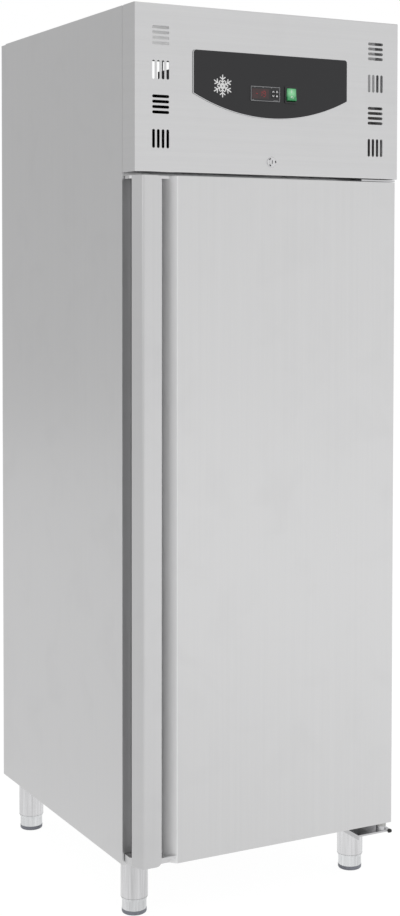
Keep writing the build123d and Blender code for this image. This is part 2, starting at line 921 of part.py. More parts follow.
def front_panel():
    """Folded tray: face, top with a rolled rear edge, bottom return, side returns and ears."""
    roll_start = tray_back - roll_radius
    outline = [
        (front_y + tray_return, housing_bottom),
        (front_y, housing_bottom),
        (front_y, top_z),
        (roll_start, top_z),
    ]
    wrap = make_face(
        offset(
            FilletPolyline(*outline, radius=sheet_bend)
            + ThreePointArc(
                (roll_start, top_z),
                (
                    roll_start + roll_radius * math.sin(math.radians(45)),
                    top_z - roll_radius + roll_radius * math.cos(math.radians(45)),
                ),
                (tray_back, top_z - roll_radius),
            ),
            amount=sheet,
            side=Side.RIGHT,
        )
    )
    tray = bar_x(wrap, -half_width, half_width)
    cheek = make_face(
        [
            Line((tray_back, housing_bottom), (tray_back, top_z - roll_radius)),
            ThreePointArc(
                (tray_back, top_z - roll_radius),
                (
                    roll_start + roll_radius * math.sin(math.radians(45)),
                    top_z - roll_radius + roll_radius * math.cos(math.radians(45)),
                ),
                (roll_start, top_z),
            ),
            Line((roll_start, top_z), (front_y + sheet_bend, top_z)),
            RadiusArc(
                (front_y + sheet_bend, top_z), (front_y, top_z - sheet_bend), -sheet_bend
            ),
            Line((front_y, top_z - sheet_bend), (front_y, housing_bottom + sheet_bend)),
            RadiusArc(
                (front_y, housing_bottom + sheet_bend),
                (front_y + sheet_bend, housing_bottom),
                -sheet_bend,
            ),
            Line((front_y + sheet_bend, housing_bottom), (tray_back, housing_bottom)),
        ]
    )
    pieces = [tray]
    for side in (-1, 1):
        x_out = side * half_width
        x_in = side * (half_width - sheet)
        pieces.append(bar_x(cheek, min(x_out, x_in), max(x_out, x_in)))
        pieces.append(panel_ear(side))
    body = union(pieces)
    body -= vent_cutters()
    body -= controller_hole(controller_body_margin, front_y - sheet, front_y + 2 * sheet)
    body -= switch_hole(switch_wall, front_y - sheet, front_y + 2 * sheet)
    body -= rod_y(0, lock_z, front_y - sheet, front_y + 2 * sheet, lock_body_radius)
    for side in (-1, 1):
        _, (x0, x1) = ear_places(side)
        body -= block(x0 - sheet, x1 + sheet, panel_pivot_y - roll_radius, tray_back + 1,
                      panel_pivot_z - 1, top_z + 1)
    slot = cam_pocket(cam_clearance)
    return body - Pos(0, 0, housing_bottom - door_top + cam_clearance) * slot


def ear_places(side):
    """X range of a panel ear and of the cabinet's hinge plate beside it."""
    plate_out = half_width - 2 * sheet
    plate_in = plate_out - ear_thickness
    ear_out = plate_in - sheet
    ear_in = ear_out - ear_thickness
    return [sorted((side * a, side * b)) for a, b in ((ear_in, ear_out), (plate_in, plate_out))]


def panel_ear(side):
    """Ear welded behind the panel's face that turns on the hinge pin."""
    (x0, x1), _ = ear_places(side)
    low = top_z - ear_height
    arm = block(x0, x1, front_y + sheet / 2, panel_pivot_y, low, panel_pivot_z + eye_radius)
    eye = rod_x(panel_pivot_y, panel_pivot_z, x0, x1, eye_radius)
    hole = rod_x(panel_pivot_y, panel_pivot_z, x0, x1, panel_pin_radius + hinge_fit)
    return arm + eye - hole


def panel_hinge(side):
    """Hinge plate on the cabinet's side with the pin for the panel's ear."""
    (ear_in, ear_out), (x0, x1) = ear_places(side)
    low = panel_pivot_z - eye_radius
    reach = cab_y + ear_height
    arm = block(x0, x1, panel_pivot_y, reach, low, panel_pivot_z + eye_radius)
    eye = rod_x(panel_pivot_y, panel_pivot_z, x0, x1, eye_radius)
    inner = min(abs(ear_in), abs(ear_out)) - sheet
    ends = sorted((side * inner, side * (half_width - 2 * sheet)))
    pin = rod_x(panel_pivot_y, panel_pivot_z, ends[0], ends[1], panel_pin_radius)
    wall = sorted((side * (half_width - sheet), side * (half_width - 2 * sheet)))
    pad = block(wall[0], wall[1], cab_y + 2 * sheet, reach, low, panel_pivot_z + eye_radius)
    return union([arm, eye, pin, pad])


def fascia_plate():
    """Dark control plate with its cut-outs."""
    plate = plate_xz(fascia_sketch(), fascia_face, front_y)
    y0 = fascia_face - cut_margin
    y1 = front_y + cut_margin
    plate -= controller_hole(controller_body_margin, y0, y1)
    return plate - switch_hole(switch_wall, y0, y1)


def key_places():
    """Centres of the four keys, two by two at the controller's right."""
    cx = controller_x + controller_width / 2 - window_margin - key_pitch
    high = controller_z + key_pitch / 2 + key_lift
    low = controller_z - key_pitch / 2 + key_lift
    return [
        ("key_up", cx - key_pitch / 2, high),
        ("key_set", cx + key_pitch / 2, high),
        ("key_down", cx - key_pitch / 2, low),
        ("key_defrost", cx + key_pitch / 2, low),
    ]


def controller_body():
    """Controller: bezel, case behind the panel, wells for the keys and the window's seat."""
    bezel_front = fascia_face - controller_rise
    face = Pos(controller_x, controller_z) * RectangleRounded(
        controller_width, controller_height, controller_corner
    )
    bezel = plate_xz(face, bezel_front, fascia_face)
    case = controller_hole(controller_body_margin, fascia_face, front_y + controller_body_depth)
    body = bezel + case
    body -= window_block(bezel_front - cut_margin, bezel_front + window_thickness)
    well = key_travel + key_foot + key_floor_gap
    for _, x, z in key_places():
        half = key_size / 2 + key_fit
        body -= block(x - half, x + half, bezel_front - cut_margin, bezel_front + well,
                      z - half, z + half)
    return body


def window_block(y0, y1):
    """Block of the display window."""
    x0 = controller_x - controller_width / 2 + window_margin
    z0 = controller_z - window_height / 2
    return block(x0, x0 + window_width, y0, y1, z0, z0 + window_height)


def controller_window():
    """Dark display window, flush with the bezel."""
    bezel_front = fascia_face - controller_rise
    return window_block(bezel_front, bezel_front + window_thickness)


def controller_key(x, z):
    """Push key with rounded front edges."""
    bezel_front = fascia_face - controller_rise
    half = key_size / 2
    cap = block(x - half, x + half, bezel_front - key_rise, bezel_front + key_foot,
                z - half, z + half)
    front = cap.faces().sort_by(Axis.Y)[0]
    return fillet(front.edges(), key_rise * 0.6)


def switch_bezel():
    """Switch housing with its raised bezel; the rocker turns in it."""
    front = fascia_face - switch_bezel_rise
    outline = Pos(switch_x, switch_z) * RectangleRounded(
        switch_bezel_width, switch_bezel_height, switch_corner
    )
    bezel = plate_xz(outline, front, fascia_face)
    case = switch_hole(switch_wall, fascia_face, front_y + switch_body_depth)
    room_w = rocker_width / 2 + rocker_fit
    room_h = rocker_height / 2 + rocker_fit + rocker_depth * math.sin(math.radians(rocker_tilt))
    room = block(switch_x - room_w, switch_x + room_w, front - cut_margin,
                 front_y + switch_body_depth - switch_wall, switch_z - room_h, switch_z + room_h)
    reach = room_w + switch_wall / 2
    pins = rod_x(rocker_pivot_y, switch_z, switch_x - reach, switch_x + reach, rocker_pin_radius)
    return bezel + case - room + pins


def switch_rocker():
    """Rocker with a shallow valley across its face, pressed at the top."""
    half_w = rocker_width / 2
    half_h = rocker_height / 2
    face = fascia_face - rocker_rise
    rear = face + rocker_depth
    points = [
        (face + rocker_valley, 0),
        (face + rocker_valley / 3, half_h),
        (rear - rocker_back_run, half_h),
        (rear, half_h - rocker_back_drop),
        (rear, -half_h + rocker_back_drop),
        (rear - rocker_back_run, -half_h),
        (face + rocker_valley / 3, -half_h),
    ]
    section = Pos(0, switch_z) * make_face(Polyline(*points, close=True))
    solid = bar_x(section, switch_x - half_w, switch_x + half_w)
    solid -= rod_x(rocker_pivot_y, switch_z, switch_x - half_w, switch_x + half_w,
                   rocker_pin_radius + hinge_fit)
    return solid.rotate(Axis((0, rocker_pivot_y, switch_z), (1, 0, 0)), -rocker_tilt)


def lock_body():
    """Cam lock's barrel with its round head."""
    head = rod_y(0, lock_z, front_y - lock_head_rise, front_y, lock_head_radius)
    head = chamfer(head.edges().group_by(Axis.Y)[0], lock_head_chamfer)
    barrel = rod_y(0, lock_z, front_y, front_y + lock_body_depth, lock_body_radius)
    bore = rod_y(0, lock_z, front_y - lock_head_rise, front_y + lock_body_depth,
                 lock_plug_radius + lock_fit)
    return head + barrel - bore


def lock_plug():
    """Turning plug with the key's slot."""
    front = front_y - lock_head_rise - lock_plug_rise
    plug = rod_y(0, lock_z, front, cam_y, lock_plug_radius)
    slot = block(-key_slot_width / 2, key_slot_width / 2, front, front + key_slot_depth,
                 lock_z - key_slot_length / 2, lock_z + key_slot_length / 2)
    return plug - slot


def lock_cam():
    """Flat cam on the plug's end, level while unlocked."""
    half = cam_width / 2
    bar = Pos(0, lock_z) * make_hull(
        [
            *Circle(half).edges(),
            *(Pos(cam_length - half / 2, 0) * Circle(half / 2)).edges(),
        ]
    )
    return plate_xz(bar, cam_y, cam_y + cam_thickness)


# Racks, runners and shelves

def rack_places():
    """X and Y ranges of the four rack uprights."""
    x1 = inner_half - rack_gap
    x0 = x1 - rack_depth
    front = liner_front + rack_front
    back = inner_back - rack_back
    places = []
    for side in (-1, 1):
        for y in (front, back - rack_width):
            places.append((side, min(side * x0, side * x1), max(side * x0, side * x1), y))
    return places


def rack_uprights():
    """Four channel uprights with a row of slots for the runners' hooks."""
    z0 = inner_bottom + liner_radius
    z1 = inner_top - cooler_height - liner_radius
    solids = []
    for side, x0, x1, y in rack_places():
        upright = block(x0, x1, y, y + rack_width, z0, z1)
        inner = block(x0 + rack_sheet * (side > 0), x1 - rack_sheet * (side < 0),
                      y + rack_sheet, y + rack_width - rack_sheet, z0, z1)
        upright -= inner
        count = int((z1 - z0) / rack_slot_pitch)
        mid = y + rack_width / 2
        for i in range(count):
            z = z0 + (i + 0.5) * rack_slot_pitch
            upright -= block(x0 - 1, x1 + 1, mid - rack_slot_width / 2, mid + rack_slot_width / 2,
                             z, z + rack_slot_height)
        solids.append(upright)
    return solids


def shelf_height(i):
    """Underside of a shelf's side rods."""
    return inner_bottom + first_shelf + i * shelf_pitch


def runner_y():
    """Y range of the runners."""
    return liner_front + rack_front, inner_back - rack_back


def shelf_runners():
    """Angle runners that carry the shelves, in pairs."""
    y0, y1 = runner_y()
    solids = []
    for i in range(shelf_count):
        top = shelf_height(i)
        for side in (-1, 1):
            x_out = inner_half - rack_gap - rack_depth
            x_in = x_out - runner_lip
            ledge = sorted((side * x_in, side * x_out))
            side_wall = sorted((side * (x_out - runner_sheet), side * x_out))
            flat = block(ledge[0], ledge[1], y0, y1, top - runner_sheet, top)
            upright = block(side_wall[0], side_wall[1], y0, y1, top - runner_sheet,
                            top + runner_drop)
            solids.append(flat + upright)
    return solids


def wire(x0, x1, y0, y1, z, size):
    """A straight wire of eight-sided section along X or Y."""
    section = RegularPolygon(size / 2 / math.cos(math.pi / 8), 8, rotation=22.5)
    if x1 - x0 > y1 - y0:
        return bar_x(Pos((y0 + y1) / 2, z) * section, x0, x1)
    return plate_xz(Pos((x0 + x1) / 2, z) * section, y0, y1)


def wire_shelf(level):
    """Wire shelf: frame rods, cross rods and a row of thin wires lying on them."""
    z = level + shelf_rod / 2
    edge = inner_half - rack_gap - rack_depth - runner_sheet - shelf_side_gap
    x = edge - shelf_rod / 2
    y0 = cab_y + shelf_front_gap
    y1 = inner_back - shelf_back_gap
    rods = [wire(s * x, s * x, y0, y1, z, shelf_rod) for s in (-1, 1)]
    for i in range(shelf_cross_rods):
        ry = y0 + shelf_rod / 2 + i * (y1 - y0 - shelf_rod) / (shelf_cross_rods - 1)
        rods.append(wire(-x, x, ry, ry, z, shelf_rod))
    frame = union(rods)
    pitch = 2 * x / (shelf_wires + 1)
    top = level + shelf_rod + shelf_wire / 2 - shelf_wire_sink
    wires = [
        wire(-x + (i + 1) * pitch, -x + (i + 1) * pitch, y0, y1, top, shelf_wire)
        for i in range(shelf_wires)
    ]
    return union([frame] + wires)


# Cooling unit in the chamber

def cooler_range():
    """Corners of the cooling unit's housing."""
    x = inner_half - cooler_side_gap
    y1 = inner_back - cooler_back_gap
    return x, y1 - cooler_depth, y1, inner_top - cooler_height, inner_top


def evaporator_cover():
    """Sheet housing under the chamber's roof, open below the coil, with the fan's opening."""
    x, y0, y1, z0, z1 = cooler_range()
    t = cooler_sheet
    box = block(-x, x, y0, y1, z0 + drip_tray_height, z1)
    box -= block(-x + t, x - t, y0 + t, y1, z0, z1)
    box -= rod_y(0, small_fan_z, y0 - cut_margin, y0 + t + cut_margin, small_fan_opening)
    bars = [
        block(-small_fan_opening, small_fan_opening, y0, y0 + t,
              small_fan_z + s * small_fan_opening / 3 - guard_bar / 2,
              small_fan_z + s * small_fan_opening / 3 + guard_bar / 2)
        for s in (-2, -1, 0, 1, 2)
    ]
    bars.append(block(-guard_bar / 2, guard_bar / 2, y0, y0 + t,
                      small_fan_z - small_fan_opening, small_fan_z + small_fan_opening))
    return union([box] + bars) - suction_hole(suction_radius)


def drip_tray():
    """Tray below the coil that leads the water to the drain."""
    x, y0, y1, z0, _ = cooler_range()
    t = cooler_sheet
    tray = block(-x, x, y0, y1, z0, z0 + drip_tray_height - drip_gap)
    tray -= block(-x + t, x - t, y0 + t, y1 - t, z0 + t, z0 + drip_tray_height)
    hangers = [
        block(s * x - t * (s > 0), s * x + t * (s < 0), y, y + drip_hanger,
              z0, z0 + drip_tray_height)
        for s in (-1, 1)
        for y in (y0, y1 - drip_hanger)
    ]
    tray = union([tray] + hangers)
    bore = drain_pipe_radius - drain_wall
    return tray - rod_y(0, spout_z, y1 - 2 * t, y1 + cut_margin, bore)


def evaporator_coil():
    """Finned coil: end plates, fins and tube passes with return bends."""
    x, _, y1, z0, z1 = cooler_range()
    half = x - evaporator_margin - 2 * evaporator_tube_radius
    back = y1 - evaporator_margin
    front = back - evaporator_depth
    low = z0 + drip_tray_height + evaporator_low_gap
    high = z1 - evaporator_high_gap
    pitch = 2 * half / (evaporator_fin_count - 1)
    fins = []
    for i in range(evaporator_fin_count):
        fx = -half + i * pitch
        fins.append(block(fx - evaporator_fin_thickness / 2, fx + evaporator_fin_thickness / 2,
                          front, back, low, high))
    tubes = coil_tubes(half, front, back, low, high, evaporator_tube_radius, evaporator_rows)
    return union(fins + tubes)


def coil_tubes(half, front, back, low, high, radius, rows):
    """Level tube passes through a fin pack, joined by return bends at alternate ends."""
    tubes = []
    for y in (front + (back - front) / 4, back - (back - front) / 4):
        step = (high - low) / (rows + 1)
        for i in range(rows):
            z = low + (i + 1) * step
            tubes.append(rod_x(y, z, -half - coil_overrun, half + coil_overrun, radius))
        for i in range(rows - 1):
            side = 1 if i % 2 == 0 else -1
            bend_x = side * (half + coil_overrun)
            z = low + (i + 1.5) * step
            arc = CenterArc((0, 0), step / 2, -90, 180)
            plane = Plane(origin=(bend_x, y, z), x_dir=(side, 0, 0), z_dir=(0, -side, 0))
            path = plane * arc
            start = plane.from_local_coords((0, -step / 2, 0))
            circle = Plane(origin=start, z_dir=(side, 0, 0)) * Circle(radius)
            tubes.append(sweep(circle, path=path))
    return tubes


def motor_bar(z, y0, length, x0, x1):
    """Flat mounting bar across a motor."""
    bar_y = y0 + length * motor_bar_place
    half = motor_bar_height / 2
    return block(x0, x1, bar_y, bar_y + motor_bar_thickness, z - half, z + half)


def fan_motor(z, y0, length, radius, bar_half, shaft_front):
    """Motor along Y with its shaft to the front and a flat mounting bar."""
    body = rod_y(0, z, y0, y0 + length, radius)
    shaft = rod_y(0, z, shaft_front, y0, shaft_radius)
    return union([body, shaft, motor_bar(z, y0, length, -bar_half, bar_half)])


def fan(z, y0, width, radius, hub_radius):
    """Axial fan: hub with a shaft bore and pitched blades."""
    hub = rod_y(0, z, y0, y0 + width, hub_radius)
    chord = width / math.sin(math.radians(blade_pitch))
    length = radius - hub_radius + blade_root
    blade = Pos(hub_radius + length / 2 - blade_root, 0, 0) * Rot(blade_pitch, 0, 0) * Box(
        length, fan_blade_thickness, chord
    )
    blades = [
        Pos(0, y0 + width / 2, z) * Rot(0, 360 / fan_blades * i, 0) * blade
        for i in range(fan_blades)
    ]
    body = union([hub] + blades) & rod_y(0, z, y0, y0 + width, radius)
    return body - rod_y(0, z, y0 - cut_margin, y0 + width + cut_margin, shaft_radius + hinge_fit)


def evaporator_fan():
    """Fan behind the cooler's front opening."""
    _, y0, _, _, _ = cooler_range()
    front = y0 + cooler_sheet + fan_gap
    return fan(small_fan_z, front, fan_width, small_fan_radius, fan_hub_radius)


def evaporator_fan_motor():
    """Motor of the cooler's fan, on a bar across the housing."""
    x, y0, _, _, _ = cooler_range()
    fan_front = y0 + cooler_sheet + fan_gap
    front = fan_front + fan_width + fan_gap
    return fan_motor(small_fan_z, front, small_motor_length, small_motor_radius,
                     x - cooler_sheet, fan_front + fan_gap)


def drain_path():
    """Centre line of the drain: from the tray into the wall, then down below the cabinet."""
    _, _, y1, _, _ = cooler_range()
    low = leg_height - drain_neck - drain_outlet
    return [(0, y1, spout_z), (0, drain_y, spout_z), (0, drain_y, low)]


def drain_pipe():
    """Drain from the tray down through the back wall to its free end below the cabinet."""
    shoulder = leg_height - drain_neck
    outlet = rod(0, drain_y, shoulder - drain_outlet, shoulder, drain_radius)
    tube = pipe(drain_path(), drain_pipe_radius, drain_bend) + outlet
    return tube - pipe(drain_path(), drain_pipe_radius - drain_wall, drain_bend)


# Machine compartment

def unit_base():
    """Base tray of the condensing unit with turned-up edges."""
    x = half_width - unit_side_gap
    y0 = cab_y + unit_front_gap
    y1 = back_y - unit_back_gap
    t = unit_base_thickness
    tray = block(-x, x, y0, y1, deck_z, deck_z + t)
    walls = [
        block(-x, -x + t, y0, y1, deck_z, deck_z + unit_base_edge),
        block(x - t, x, y0, y1, deck_z, deck_z + unit_base_edge),
    ]
    return union([tray] + walls) - suction_hole(suction_radius)


def condenser_range():
    """Y and Z ranges of the condenser."""
    y0 = cab_y + unit_front_gap + condenser_front_gap
    z0 = deck_z + unit_base_thickness
    return y0, y0 + condenser_depth, z0, z0 + condenser_height


def condenser_coil():
    """Condenser: side plates, fins and tube passes with return bends."""
    y0, y1, z0, z1 = condenser_range()
    half = condenser_width / 2
    pitch = 2 * half / (condenser_fin_count - 1)
    fins = []
    for i in range(condenser_fin_count):
        fx = -half + i * pitch
        end = i in (0, condenser_fin_count - 1)
        low = z0 if end else z0 + condenser_fin_lift
        fins.append(block(fx - condenser_fin_thickness / 2, fx + condenser_fin_thickness / 2,
                          y0, y1, low, z1))
    return union(fins + coil_tubes(half, y0, y1, z0, z1, condenser_tube_radius, condenser_rows))


def condenser_shroud():
    """Sheet shroud from the condenser to the fan's round opening, with wings that keep the air
    from passing beside the condenser."""
    _, y1, z0, z1 = condenser_range()
    half = condenser_width / 2 + condenser_fin_thickness / 2
    t = shroud_sheet
    back = y1 + shroud_depth
    box = block(-half, half, y1, back, z0, z1)
    box -= block(-half + t, half - t, y1, back - t, z0 + t, z1 - t)
    box -= rod_y(0, large_fan_z, back - t - cut_margin, back + cut_margin, large_fan_opening)
    edge = half_width - unit_side_gap - unit_base_thickness - baffle_edge_gap
    wings = [
        block(min(s * half, s * edge), max(s * half, s * edge), y1, y1 + t, z0, z0 + baffle_height)
        for s in (-1, 1)
    ]
    shroud = union([box] + wings)
    for x, z_low, z_high in pipe_passes():
        r = pipe_radius + baffle_pipe_gap
        hole = block(x - r, x + r, y1 - cut_margin, y1 + t + cut_margin, z_low - r, z_high + r)
        shroud -= hole
    return shroud


def pipe_passes():
    """X, lowest Z and highest Z where the discharge and liquid pipes pass the shroud's wings."""
    _, _, z0, z1 = condenser_range()
    drier_x, _, drier_z = drier_place()
    top = seam_height() + stub_height
    step = (z1 - z0) / (condenser_rows + 1)
    return [(discharge_x, top, top), (drier_x, drier_z, z0 + step)]


def condenser_fan():
    """Large fan in the shroud's opening."""
    _, y1, _, _ = condenser_range()
    front = y1 + shroud_depth - large_fan_width / 2
    return fan(large_fan_z, front, large_fan_width, large_fan_radius, large_hub_radius)


def condenser_fan_motor():
    """Motor behind the large fan, on a bar across the shroud's back."""
    _, y1, _, _ = condenser_range()
    front = y1 + shroud_depth + large_fan_width / 2 + fan_gap
    half = condenser_width / 2
    fan_front = y1 + shroud_depth - large_fan_width / 2
    motor = fan_motor(large_fan_z, front, large_motor_length, large_motor_radius,
                      half, fan_front + fan_gap)
    bar_back = front + large_motor_length * motor_bar_place + motor_bar_thickness
    rise = motor_bar_height / 2
    legs = []
    for side in (-1, 1):
        x0, x1 = sorted((side * half, side * (half - motor_leg_width)))
        legs.append(block(x0, x1, y1 + shroud_depth, bar_back, large_fan_z - rise,
                          large_fan_z + rise))
    return union([motor] + legs)


def compressor_centre():
    """Plan centre of the compressor."""
    return compressor_x, back_y - unit_back_gap - compressor_back_gap


def suction_place():
    """Plan centre of the suction pipe where it goes down into the chamber."""
    x, y = compressor_centre()
    return x, y + compressor_radius + suction_drop


def suction_hole(radius):
    """Hole for the suction pipe through the roof."""
    top = deck_z + unit_base_edge + unit_base_thickness + cut_margin
    return rod(*suction_place(), inner_top - suction_end - cut_margin, top, radius)


def grommet_places():
    """Plan centres of the compressor's four rubber feet."""
    x, y = compressor_centre()
    half = grommet_spread / 2
    return [
        (x + sx * half, y + sy * half * foot_plate_share) for sx in (-1, 1) for sy in (-1, 1)
    ]


def compressor():
    """Hermetic compressor: domed shell with its seam, foot plate and terminal cover."""
    x, y = compressor_centre()
    z0 = deck_z + unit_base_thickness + grommet_height
    z1 = z0 + compressor_height
    r = compressor_radius
    dome = compressor_dome
    low = z0 + compressor_lift
    seam = seam_height()
    lip = compressor_seam
    body = rod(x, y, low, z1, r)
    body = fillet(body.edges().filter_by(GeomType.CIRCLE), dome)
    shell = body + rod(x, y, seam - lip, seam + lip, r + lip)
    spread = grommet_spread / 2 + grommet_radius + foot_plate_margin
    deep = spread * foot_plate_share
    foot_plate = block(x - spread, x + spread, y - deep, y + deep, z0, z0 + compressor_foot)
    neck = rod(x, y, z0, low + dome, r * compressor_neck)
    half_box = terminal_box / 2
    cover = block(x - r - terminal_reach, x - r * terminal_sink, y - half_box, y + half_box,
                  seam - terminal_low, seam + terminal_high)
    stub_z = seam + stub_height
    root = r - stub_root
    tip = r + stub_length
    stubs = [
        rod_x(y, stub_z, x + root, x + tip, pipe_radius + stub_wall),
        rod_y(x, stub_z, y + root, y + tip, suction_radius + stub_wall),
    ]
    return shell + neck + foot_plate + cover + stubs[0] + stubs[1]


def seam_height():
    """Height of the compressor's weld seam."""
    return deck_z + unit_base_thickness + grommet_height + compressor_height / 2


def compressor_grommets():
    """Rubber grommets under the compressor's foot plate."""
    z0 = deck_z + unit_base_thickness
    solids = []
    for gx, gy in grommet_places():
        solids.append(rod(gx, gy, z0, z0 + grommet_height, grommet_radius))
    return solids


def drier_place():
    """Front end of the filter drier's axis."""
    x = -half_width + unit_side_gap + drier_side_gap
    y = back_y - unit_back_gap - box_depth - drier_box_gap - drier_length
    return x, y, deck_z + unit_base_thickness + drier_radius


def filter_drier():
    """Filter drier lying on the base, with its tapered ends."""
    x, y, z = drier_place()
    body = rod_y(x, z, y, y + drier_length, drier_radius)
    ends = rod_y(x, z, y - drier_end, y + drier_length + drier_end, pipe_radius + drier_end_wall)
    return chamfer(body.edges(), drier_chamfer) + ends


def pipe(points, radius, bend):
    """A round tube along straight runs joined by bends."""
    path = FilletPolyline(*points, radius=bend)
    start = path @ 0
    circle = Plane(origin=start, z_dir=path % 0) * Circle(radius)
    return sweep(circle, path=path)


def refrigerant_pipes():
    """Discharge pipe to the condenser, liquid pipe to the drier, suction pipe from the cooler."""
    cx, cy = compressor_centre()
    y0, y1, z0, z1 = condenser_range()
    _, suction_y = suction_place()
    half = condenser_width / 2 + condenser_fin_thickness / 2
    drier_x, drier_y, drier_z = drier_place()
    step = (z1 - z0) / (condenser_rows + 1)
    front_tube = y0 + condenser_depth / 4
    rear_tube = y1 - condenser_depth / 4
    start = compressor_radius + stub_length
    high_tube = z0 + condenser_rows * step
    top = seam_height() + stub_height
    discharge = pipe(
        [
            (cx + start, cy, top),
            (discharge_x, cy, top),
            (discharge_x, front_tube, top),
            (discharge_x, front_tube, high_tube),
            (half + pipe_end_gap, front_tube, high_tube),
        ],
        pipe_radius,
        pipe_bend,
    )
    liquid = pipe(
        [
            (-half - pipe_end_gap, rear_tube, z0 + step),
            (drier_x, rear_tube, z0 + step),
            (drier_x, rear_tube + liquid_run, drier_z),
            (drier_x, drier_y - drier_end, drier_z),
        ],
        pipe_radius,
        liquid_bend,
    )
    suction = pipe(
        [
            (cx, cy + start, top),
            (cx, suction_y, top),
            (cx, suction_y, inner_top - suction_end),
        ],
        suction_radius,
        suction_bend,
    )
    return [discharge, liquid, suction]


def electrical_box():
    """Electrical box with its lid, standing at the left rear of the unit."""
    x0 = -half_width + unit_side_gap + box_side_gap
    y1 = back_y - unit_back_gap
    z0 = deck_z + unit_base_thickness
    box = block(x0, x0 + box_width, y1 - box_depth, y1, z0, z0 + box_height)
    lid = block(x0 - box_lid, x0 + box_width + box_lid, y1 - box_depth - box_lid, y1,
                z0 + box_height, z0 + box_height + box_lid_depth)
    return (box + lid) - rod_y(x0 + box_width / 2, gland_z, y1 - gland_root, y1, gland_radius)


def cable_gland():
    """Gland for the mains lead in the electrical box's rear wall."""
    x = -half_width + unit_side_gap + box_side_gap + box_width / 2
    y1 = back_y - unit_back_gap
    y0 = y1 - gland_root
    body = rod_y(x, gland_z, y0, y0 + gland_length, gland_radius)
    hexagon = Pos(x, gland_z) * RegularPolygon(gland_radius * gland_nut_share, 6)
    nut = plate_xz(hexagon, y1, y1 + gland_nut)
    return body + nut - rod_y(x, gland_z, y0, y0 + gland_length, gland_bore)


drain_y = back_y - drain_inset
spout_z = inner_top - cooler_height + drain_pipe_radius + cooler_sheet
small_fan_z = inner_top - (cooler_height - drip_tray_height) / 2
large_fan_z = deck_z + unit_base_thickness + condenser_height / 2
discharge_x = half_width - unit_side_gap - discharge_side_gap
rocker_pivot_y = fascia_face - rocker_rise + rocker_pivot_depth
gland_z = deck_z + unit_base_thickness + gland_height

nodes = {
    "side_panel_left": side_panel(-1),
    "side_panel_right": side_panel(1),
    "rear_panel": rear_panel(),
    "bottom_panel": bottom_panel(),
    "machine_deck": machine_deck(),
    "breaker_frame": breaker_frame(),
    "inner_liner": inner_liner(),
    "insulation": insulation(),
    "top_cover": top_cover(),
    "rear_guard": rear_guard(),
    "door_skin": door_skin(),
    "door_pan": door_pan(),
    "door_foam": door_foam(),
    "door_gasket": door_gasket(),
    "handle_channel": handle_channel(),
    "handle_caps": handle_caps(),
    "hinge_bracket_bottom": lower_bracket(),
    "hinge_bracket_top": upper_bracket(),
    "hinge_bushes": hinge_bushes(),
    "front_panel": front_panel(),
    "panel_hinges": [panel_hinge(-1), panel_hinge(1)],
    "fascia_plate": fascia_plate(),
    "controller_body": controller_body(),
    "controller_window": controller_window(),
    "switch_bezel": switch_bezel(),
    "switch_rocker": switch_rocker(),
    "lock_body": lock_body(),
    "lock_plug": lock_plug(),
    "lock_cam": lock_cam(),
    "rack_uprights": rack_uprights(),
    "shelf_runners": shelf_runners(),
    "evaporator_cover": evaporator_cover(),
    "evaporator_coil": evaporator_coil(),
    "evaporator_fan": evaporator_fan(),
    "evaporator_fan_motor": evaporator_fan_motor(),
    "drip_tray": drip_tray(),
    "drain_pipe": drain_pipe(),
    "unit_base": unit_base(),
    "condenser_coil": condenser_coil(),
    "condenser_shroud": condenser_shroud(),
    "condenser_fan": condenser_fan(),
    "condenser_fan_motor": condenser_fan_motor(),
    "compressor": compressor(),
    "compressor_grommets": compressor_grommets(),
    "filter_drier": filter_drier(),
    "refrigerant_pipes": refrigerant_pipes(),
    "electrical_box": electrical_box(),
    "cable_gland": cable_gland(),
    "leg_tubes": [leg_tube(x, y) for _, x, y in foot_places],
}
for place, foot_x, foot_y in foot_places:
    nodes["foot_" + place] = foot(foot_x, foot_y)
for key_name, key_x, key_z in key_places():
    nodes[key_name] = controller_key(key_x, key_z)
for shelf in range(shelf_count):
    nodes[f"shelf_{shelf + 1}"] = wire_shelf(shelf_height(shelf))

os.makedirs("parts", exist_ok=True)
for name, shape in nodes.items():
    if isinstance(shape, list):
        shape = Compound(children=shape)
    export_step(shape, f"parts/{name}.step")
print(len(nodes), "nodes")
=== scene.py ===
import math

import bmesh
import bpy
import numpy as np
from mathutils import Matrix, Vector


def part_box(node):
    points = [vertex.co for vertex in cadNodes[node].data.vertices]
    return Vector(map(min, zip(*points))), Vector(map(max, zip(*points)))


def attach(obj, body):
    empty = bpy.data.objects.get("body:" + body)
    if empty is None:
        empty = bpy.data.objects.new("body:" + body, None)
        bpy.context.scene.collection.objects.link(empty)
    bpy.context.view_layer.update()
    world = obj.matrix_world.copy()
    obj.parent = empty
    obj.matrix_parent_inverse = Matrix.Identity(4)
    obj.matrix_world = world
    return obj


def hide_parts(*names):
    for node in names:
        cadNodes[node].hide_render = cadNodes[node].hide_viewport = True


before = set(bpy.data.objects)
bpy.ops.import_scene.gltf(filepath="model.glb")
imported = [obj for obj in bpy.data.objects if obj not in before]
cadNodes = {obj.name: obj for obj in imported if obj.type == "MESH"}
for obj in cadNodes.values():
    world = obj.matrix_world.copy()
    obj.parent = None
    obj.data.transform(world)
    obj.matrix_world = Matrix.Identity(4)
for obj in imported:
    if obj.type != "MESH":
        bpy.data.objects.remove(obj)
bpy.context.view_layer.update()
print("frame loaded,", len(cadNodes), "parts")

mm = 0.001
printSink = 0.1 * mm  # how far prints and trim reach into the sheet behind them


# Meshes from arrays

def linkPiece(name, mesh):
    piece = bpy.data.objects.new(name, mesh)
    bpy.context.scene.collection.objects.link(piece)
    return piece


